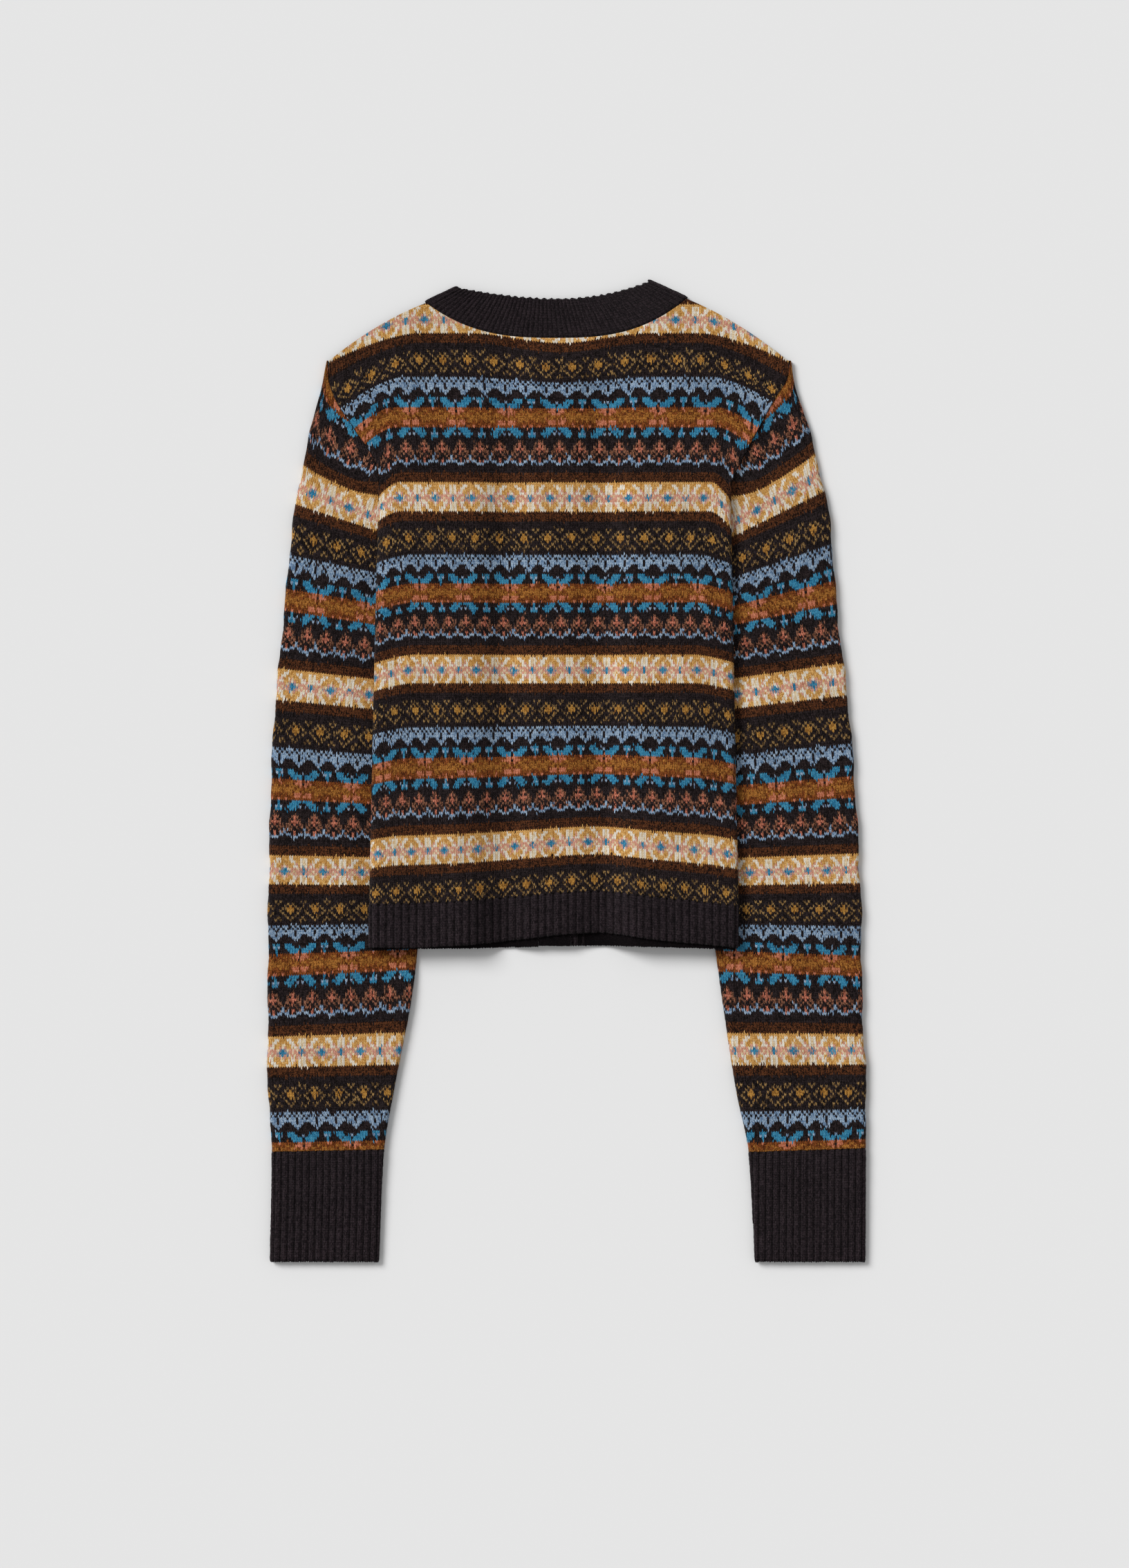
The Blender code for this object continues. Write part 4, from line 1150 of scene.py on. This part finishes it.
hem_left = steps(-HEM_UNDER, -HEM_SHOWN, 1)[:-1]
hem_columns = hem_left + steps(-HEM_SHOWN, HEM_SHOWN, 0.5) + [-step for step in reversed(hem_left)]
hem = knit_rib("hem_rib_back_panel", hem_columns, HEM_ROWS, partial(spread_hem, "back"), trim_body,
               fold_body, 41)
dress(hem, "dark_rib", "hem_rib_back")
for side in SIDES:
    columns = [step for step in hem_columns if step * SIGN[side] > -HEM_OVERLAP]
    hem = knit_rib("hem_rib_front_%s_panel" % side, columns, HEM_ROWS, partial(spread_hem, "front"),
                   partial(trim_front, side), partial(lay_front, side), 42 + PARTS[side])
    dress(hem, "dark_rib", "hem_rib_front_" + side)

# %% Cuffs
CUFF_RIB = 5.3              # mm from one rib to the next
CUFF_ROWS = steps(0, 46, 1)
CUFF_TURN, CUFF_HALF = 3, 54            # columns of fine faces round the outer edge, and in half the tube


def spread_cuff(side, wale, row):
    along = abs(wale) * CUFF_RIB / RIB_UNIT
    seam = sleeve_row[side](0.0) - sleeve_row[side + "_lean"](0.0) * along + PICK_UP
    return math.copysign(along, wale), mix(CUFF_END_Y, seam, row / CUFF_ROWS[-1])


cuff_columns = steps(-CUFF_HALF, -CUFF_TURN, 1)[:-1] + steps(-CUFF_TURN, CUFF_HALF, 0.5)
for side in SIDES:
    cuff = knit_rib("cuff_%s_panel" % side, cuff_columns, CUFF_ROWS, partial(spread_cuff, side),
                    partial(trim_sleeve, side), partial(lay_sleeve, side), 51 + PARTS[side])
    dress(cuff, "dark_rib", "cuff_" + side)

# %% [markdown]
# ## The neckband
# The neckband is one strip of rib, picked up round the neck. It is followed as a line of stations: each
# holds the middle of the band's thickness at the seam and at the free edge, and the way its face looks.
# At the shoulders the strip folds over and runs back along the fronts, face down, so the face turns over
# from one station to the next.

# %% Neckband stations
NECK_RIB, NECK_ROWS, NECKBAND_HIGH = 4.0, steps(0, 16, 1), 29.0
NECK_RELIEF = 0.6           # its ribs lie flatter than those of the hem
FREE_EDGE = {"left": (-83.5, 370.4), "low": (-10.0, 362.0), "right": (62.5, 375.2)}
FREE_POWER = {"left": 1.7, "right": 2.2}
TURN_RADIUS = WALL + GAP / 2
BACK_STATIONS, FRONT_STATIONS = 72, 24
FOLD_STEP = 22.5            # degrees from one station to the next round a fold
SCALLOP = 0.45              # mm, the free edge rises and falls once in every two ribs
SCALLOP_FROM = 0.7          # share of the band's height at which that begins


def free_edge(share):
    """The band's free edge at the back; share is 0 at its left fold and 1 at its right."""
    x = mix(FREE_EDGE["left"][0], FREE_EDGE["right"][0], share)
    low = FREE_EDGE["low"]
    end = "left" if x < low[0] else "right"
    climb = abs((x - low[0]) / (FREE_EDGE[end][0] - low[0])) ** FREE_POWER[end]
    return x, mix(low[1], FREE_EDGE[end][1], climb)


def back_stations():
    left, right = SIDES["left"]["neck_x"], SIDES["right"]["neck_x"]
    seam = []
    for x in steps(left, right, (right - left) / BACK_STATIONS):
        y = top_line("back", x)
        seam.append(Vector((x, y, body_top("back", x, y) - TURN_RADIUS)))
    lengths = distances(seam)
    stations = []
    for point, length in zip(seam, lengths):
        far = Vector((*free_edge(length / lengths[-1]), point.z))
        near = point - (far - point).normalized() * PICK_UP
        stations.append((near, far, Vector((0.0, 0.0, 1.0))))
    return stations


def fold_stations(station, side):
    """The band turning over at a shoulder."""
    near, far, _ = station
    run = (far - near).normalized()
    outward = Vector((run.y, -run.x, 0.0)) * SIGN[side]
    turned = []
    for angle in steps(FOLD_STEP, 180.0, FOLD_STEP):
        turn = math.radians(angle)
        turned.append((near, far, outward * math.sin(turn) + Vector((0.0, 0.0, math.cos(turn)))))
    return turned


def front_stations(side):
    """The band along a front's neck, from the shoulder to the button band."""
    sign = SIGN[side]
    neck = Vector((SIDES[side]["neck_x"], SIDES[side]["neck_y"], 0.0))
    start = (Vector((*FREE_EDGE[side], 0.0)) - neck).normalized()
    stop_x = CENTRE_X + sign * FRONT_EDGE
    stations = []
    for step in range(1, FRONT_STATIONS + 1):
        share = ease(0.0, 1.0, step / FRONT_STATIONS)
        x = mix(neck.x, stop_x, share)
        y = top_line("front", x)
        drop = PITCH * (1.0 - ease(*RIDGE_SLOPE, x - CENTRE_X)) if side == "right" else 0.0
        run = start.lerp(Vector((0.0, 1.0, 0.0)), ease(0.0, 1.0, share)).normalized()
        seam = Vector((x, y, body_top("front", x, y) - TURN_RADIUS - drop))
        far = seam + run * NECKBAND_HIGH
        far.x = CENTRE_X + sign * max(FRONT_EDGE, (far.x - CENTRE_X) * sign)
        stations.append((seam + run * GAP, far, Vector((0.0, 0.0, -1.0))))
    return stations


middle_part = back_stations()
left_part = (fold_stations(middle_part[0], "left") + front_stations("left"))[::-1]
right_part = fold_stations(middle_part[-1], "right") + front_stations("right")
stations = left_part + middle_part + right_part
station_at = distances([near + face * TURN_RADIUS for near, _, face in stations])
print("neckband: %.0f mm round" % station_at[-1])


# %% Neckband
def spread_neckband(wale, row):
    return wale * NECK_RIB / RIB_UNIT, NECKBAND_HIGH * (1.0 - max(0.0, row) / NECK_ROWS[-1])


def trim_neckband(along, high):
    return min(along, station_at[-1]), high, along > station_at[-1]


def lay_neckband(along, high, inset):
    place = 0
    while place < len(stations) - 2 and station_at[place + 1] <= along:
        place += 1
    share = (along - station_at[place]) / (station_at[place + 1] - station_at[place])
    near, far, face = (a.lerp(b, min(1.0, share)) for a, b in zip(stations[place], stations[place + 1]))
    scallop = SCALLOP * math.cos(math.pi * along / NECK_RIB) * ease(SCALLOP_FROM, 1.0, high / NECKBAND_HIGH)
    return near.lerp(far, (high + scallop) / NECKBAND_HIGH) + face.normalized() * (TURN_RADIUS - inset)


neck_columns = steps(0, math.ceil(station_at[-1] * RIB_UNIT / NECK_RIB), 0.5)
neckband = knit_rib("neckband_panel", neck_columns, NECK_ROWS, spread_neckband, trim_neckband,
                    lay_neckband, 61, NECK_RELIEF)
dress(neckband, "dark_rib", "neckband")

# %% [markdown]
# ## Button bands and buttons
# The front is closed, so one band lies on the other, and the buttons of the outer band touch the floor.
# The photograph shows neither. They are here because a cardigan has them, in the plainest form: a strip
# of rib and a turned four-hole button.

# %% Button bands
BAND_WIDE, BAND_TOP_Y = 25.0, FRONT_NECK_LOW_Y + NECKBAND_HIGH
BAND_WALES, BAND_ROWS = 15.0, steps(0, 236, 2)
BAND_LOW_Y = hem_y["front"](CENTRE_X)


def spread_band(wale, row):
    x = CENTRE_X + BAND_WIDE * (wale / BAND_WALES - 0.5)
    return x, mix(BAND_LOW_Y, BAND_TOP_Y, max(0.0, row) / BAND_ROWS[-1])


def trim_band(x, y):
    return x, y, False


def lay_band(layer, x, y, inset):
    return Vector((x, y, SEAM_LIE + RIDGE_LIFT - layer * PITCH - WALL + max(0.0, inset)))


for side, layer in (("left", 1), ("right", 2)):
    band = knit_rib("button_band_%s_panel" % side, steps(0, BAND_WALES, 0.5), BAND_ROWS, spread_band,
                    trim_band, partial(lay_band, layer), 71 + layer)
    dress(band, "dark_rib", "button_band_" + side)

# %% Buttons
BUTTON_RADIUS, BUTTON_THICK, BUTTON_COUNT = 6.5, 2.3, 7
BUTTON_LOW_Y, BUTTON_HIGH_Y = -118.0, 286.0
HOLE_RADIUS, HOLE_OFF = 0.8, 1.35
DISH_RADIUS, DISH_SLOPE, DISH_DEPTH = 4.6, 0.7, 0.55
EDGE_ROUND, EDGE_SLOPE = 0.25, 1.0
IN_HOLE = 0.97              # a face whose middle is nearer than this share of the hole's radius is cut out
horn, horn_shader = start_material("turned_horn_button")
horn_place = add_node(horn, "TexCoord", {})
streak_size = add_node(horn, "Mapping", {"Vector": (horn_place, "Object"), "Scale": (300.0, 90.0, 300.0)})
streaks = add_node(horn, "TexNoise", {"Vector": (streak_size, "Vector"), "Scale": 1.0, "Detail": 3.0})
horn_ramp = add_node(horn, "ValToRGB", {"Fac": (streaks, "Fac")})
for stop, place, code in zip(horn_ramp.color_ramp.elements, (0.35, 0.7), ("#1C120D", "#4A3020")):
    stop.position, stop.color = place, colour(code)
set_node(horn, horn_shader, {"Base Color": (horn_ramp, "Color"), "Roughness": 0.32})
print("horn made")


# %% Button shape
def ring(radius, count, x=0.0, y=0.0):
    turns = [2.0 * math.pi * step / count for step in range(count)]
    return [Vector((x + radius * math.cos(turn), y + radius * math.sin(turn))) for turn in turns]


def turn_button(name, at_y):
    """A dished disc with four holes; the dished face looks down at the floor."""
    holes = [Vector((x, y)) for x in (-HOLE_OFF, HOLE_OFF) for y in (-HOLE_OFF, HOLE_OFF)]
    loops = [ring(BUTTON_RADIUS - EDGE_ROUND, 40)] + [ring(HOLE_RADIUS, 10, *hole) for hole in holes]
    inside = ring(DISH_RADIUS, 32) + ring(DISH_RADIUS - DISH_SLOPE, 24) + ring(BUTTON_RADIUS - EDGE_SLOPE, 36)
    spots, lines = [], []
    for loop in loops:
        first = len(spots)
        spots += loop
        lines += [(first + step, first + (step + 1) % len(loop)) for step in range(len(loop))]
    points, _, faces, *_ = delaunay_2d_cdt(spots + inside, lines, [], 1, MERGE)
    work = bmesh.new()
    corners = [work.verts.new((*point, 0.0)) for point in points]
    for face in faces:
        middle = sum((points[corner] for corner in face), Vector((0.0, 0.0))) / len(face)
        if min((middle - hole).length for hole in holes) > HOLE_RADIUS * IN_HOLE:
            work.faces.new([corners[corner] for corner in face])
    for vert in [vert for vert in work.verts if not vert.link_faces]:
        work.verts.remove(vert)
    thick = bmesh.ops.extrude_face_region(work, geom=work.faces[:])
    top = {item for item in thick["geom"] if isinstance(item, bmesh.types.BMVert)}
    for vert in work.verts:
        off = vert.co.xy.length
        dish = 1.0 - ease(DISH_RADIUS - DISH_SLOPE, DISH_RADIUS, off)
        edge = EDGE_ROUND * ease(BUTTON_RADIUS - EDGE_SLOPE, BUTTON_RADIUS - EDGE_ROUND, off)
        vert.co.z = BUTTON_THICK - edge if vert in top else DISH_DEPTH * dish + edge
        vert.co += Vector((CENTRE_X, at_y, 0.0))
    return make_piece(work, name)


# %% Buttons on the band
for index in range(BUTTON_COUNT):
    name = "button_%d" % (index + 1)
    at_y = mix(BUTTON_LOW_Y, BUTTON_HIGH_Y, index / (BUTTON_COUNT - 1))
    button = turn_button(name + "_turned", at_y)
    button.data.materials.append(horn)
    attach(button, "root")
    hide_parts(name)
print("buttons:", BUTTON_COUNT)

# %% Close
boxes = {"cad": cad_bounds, "visual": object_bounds()}
boxes = {name: [list(corner) for corner in box] for name, box in boxes.items()}
print("boxes written:", list(boxes))
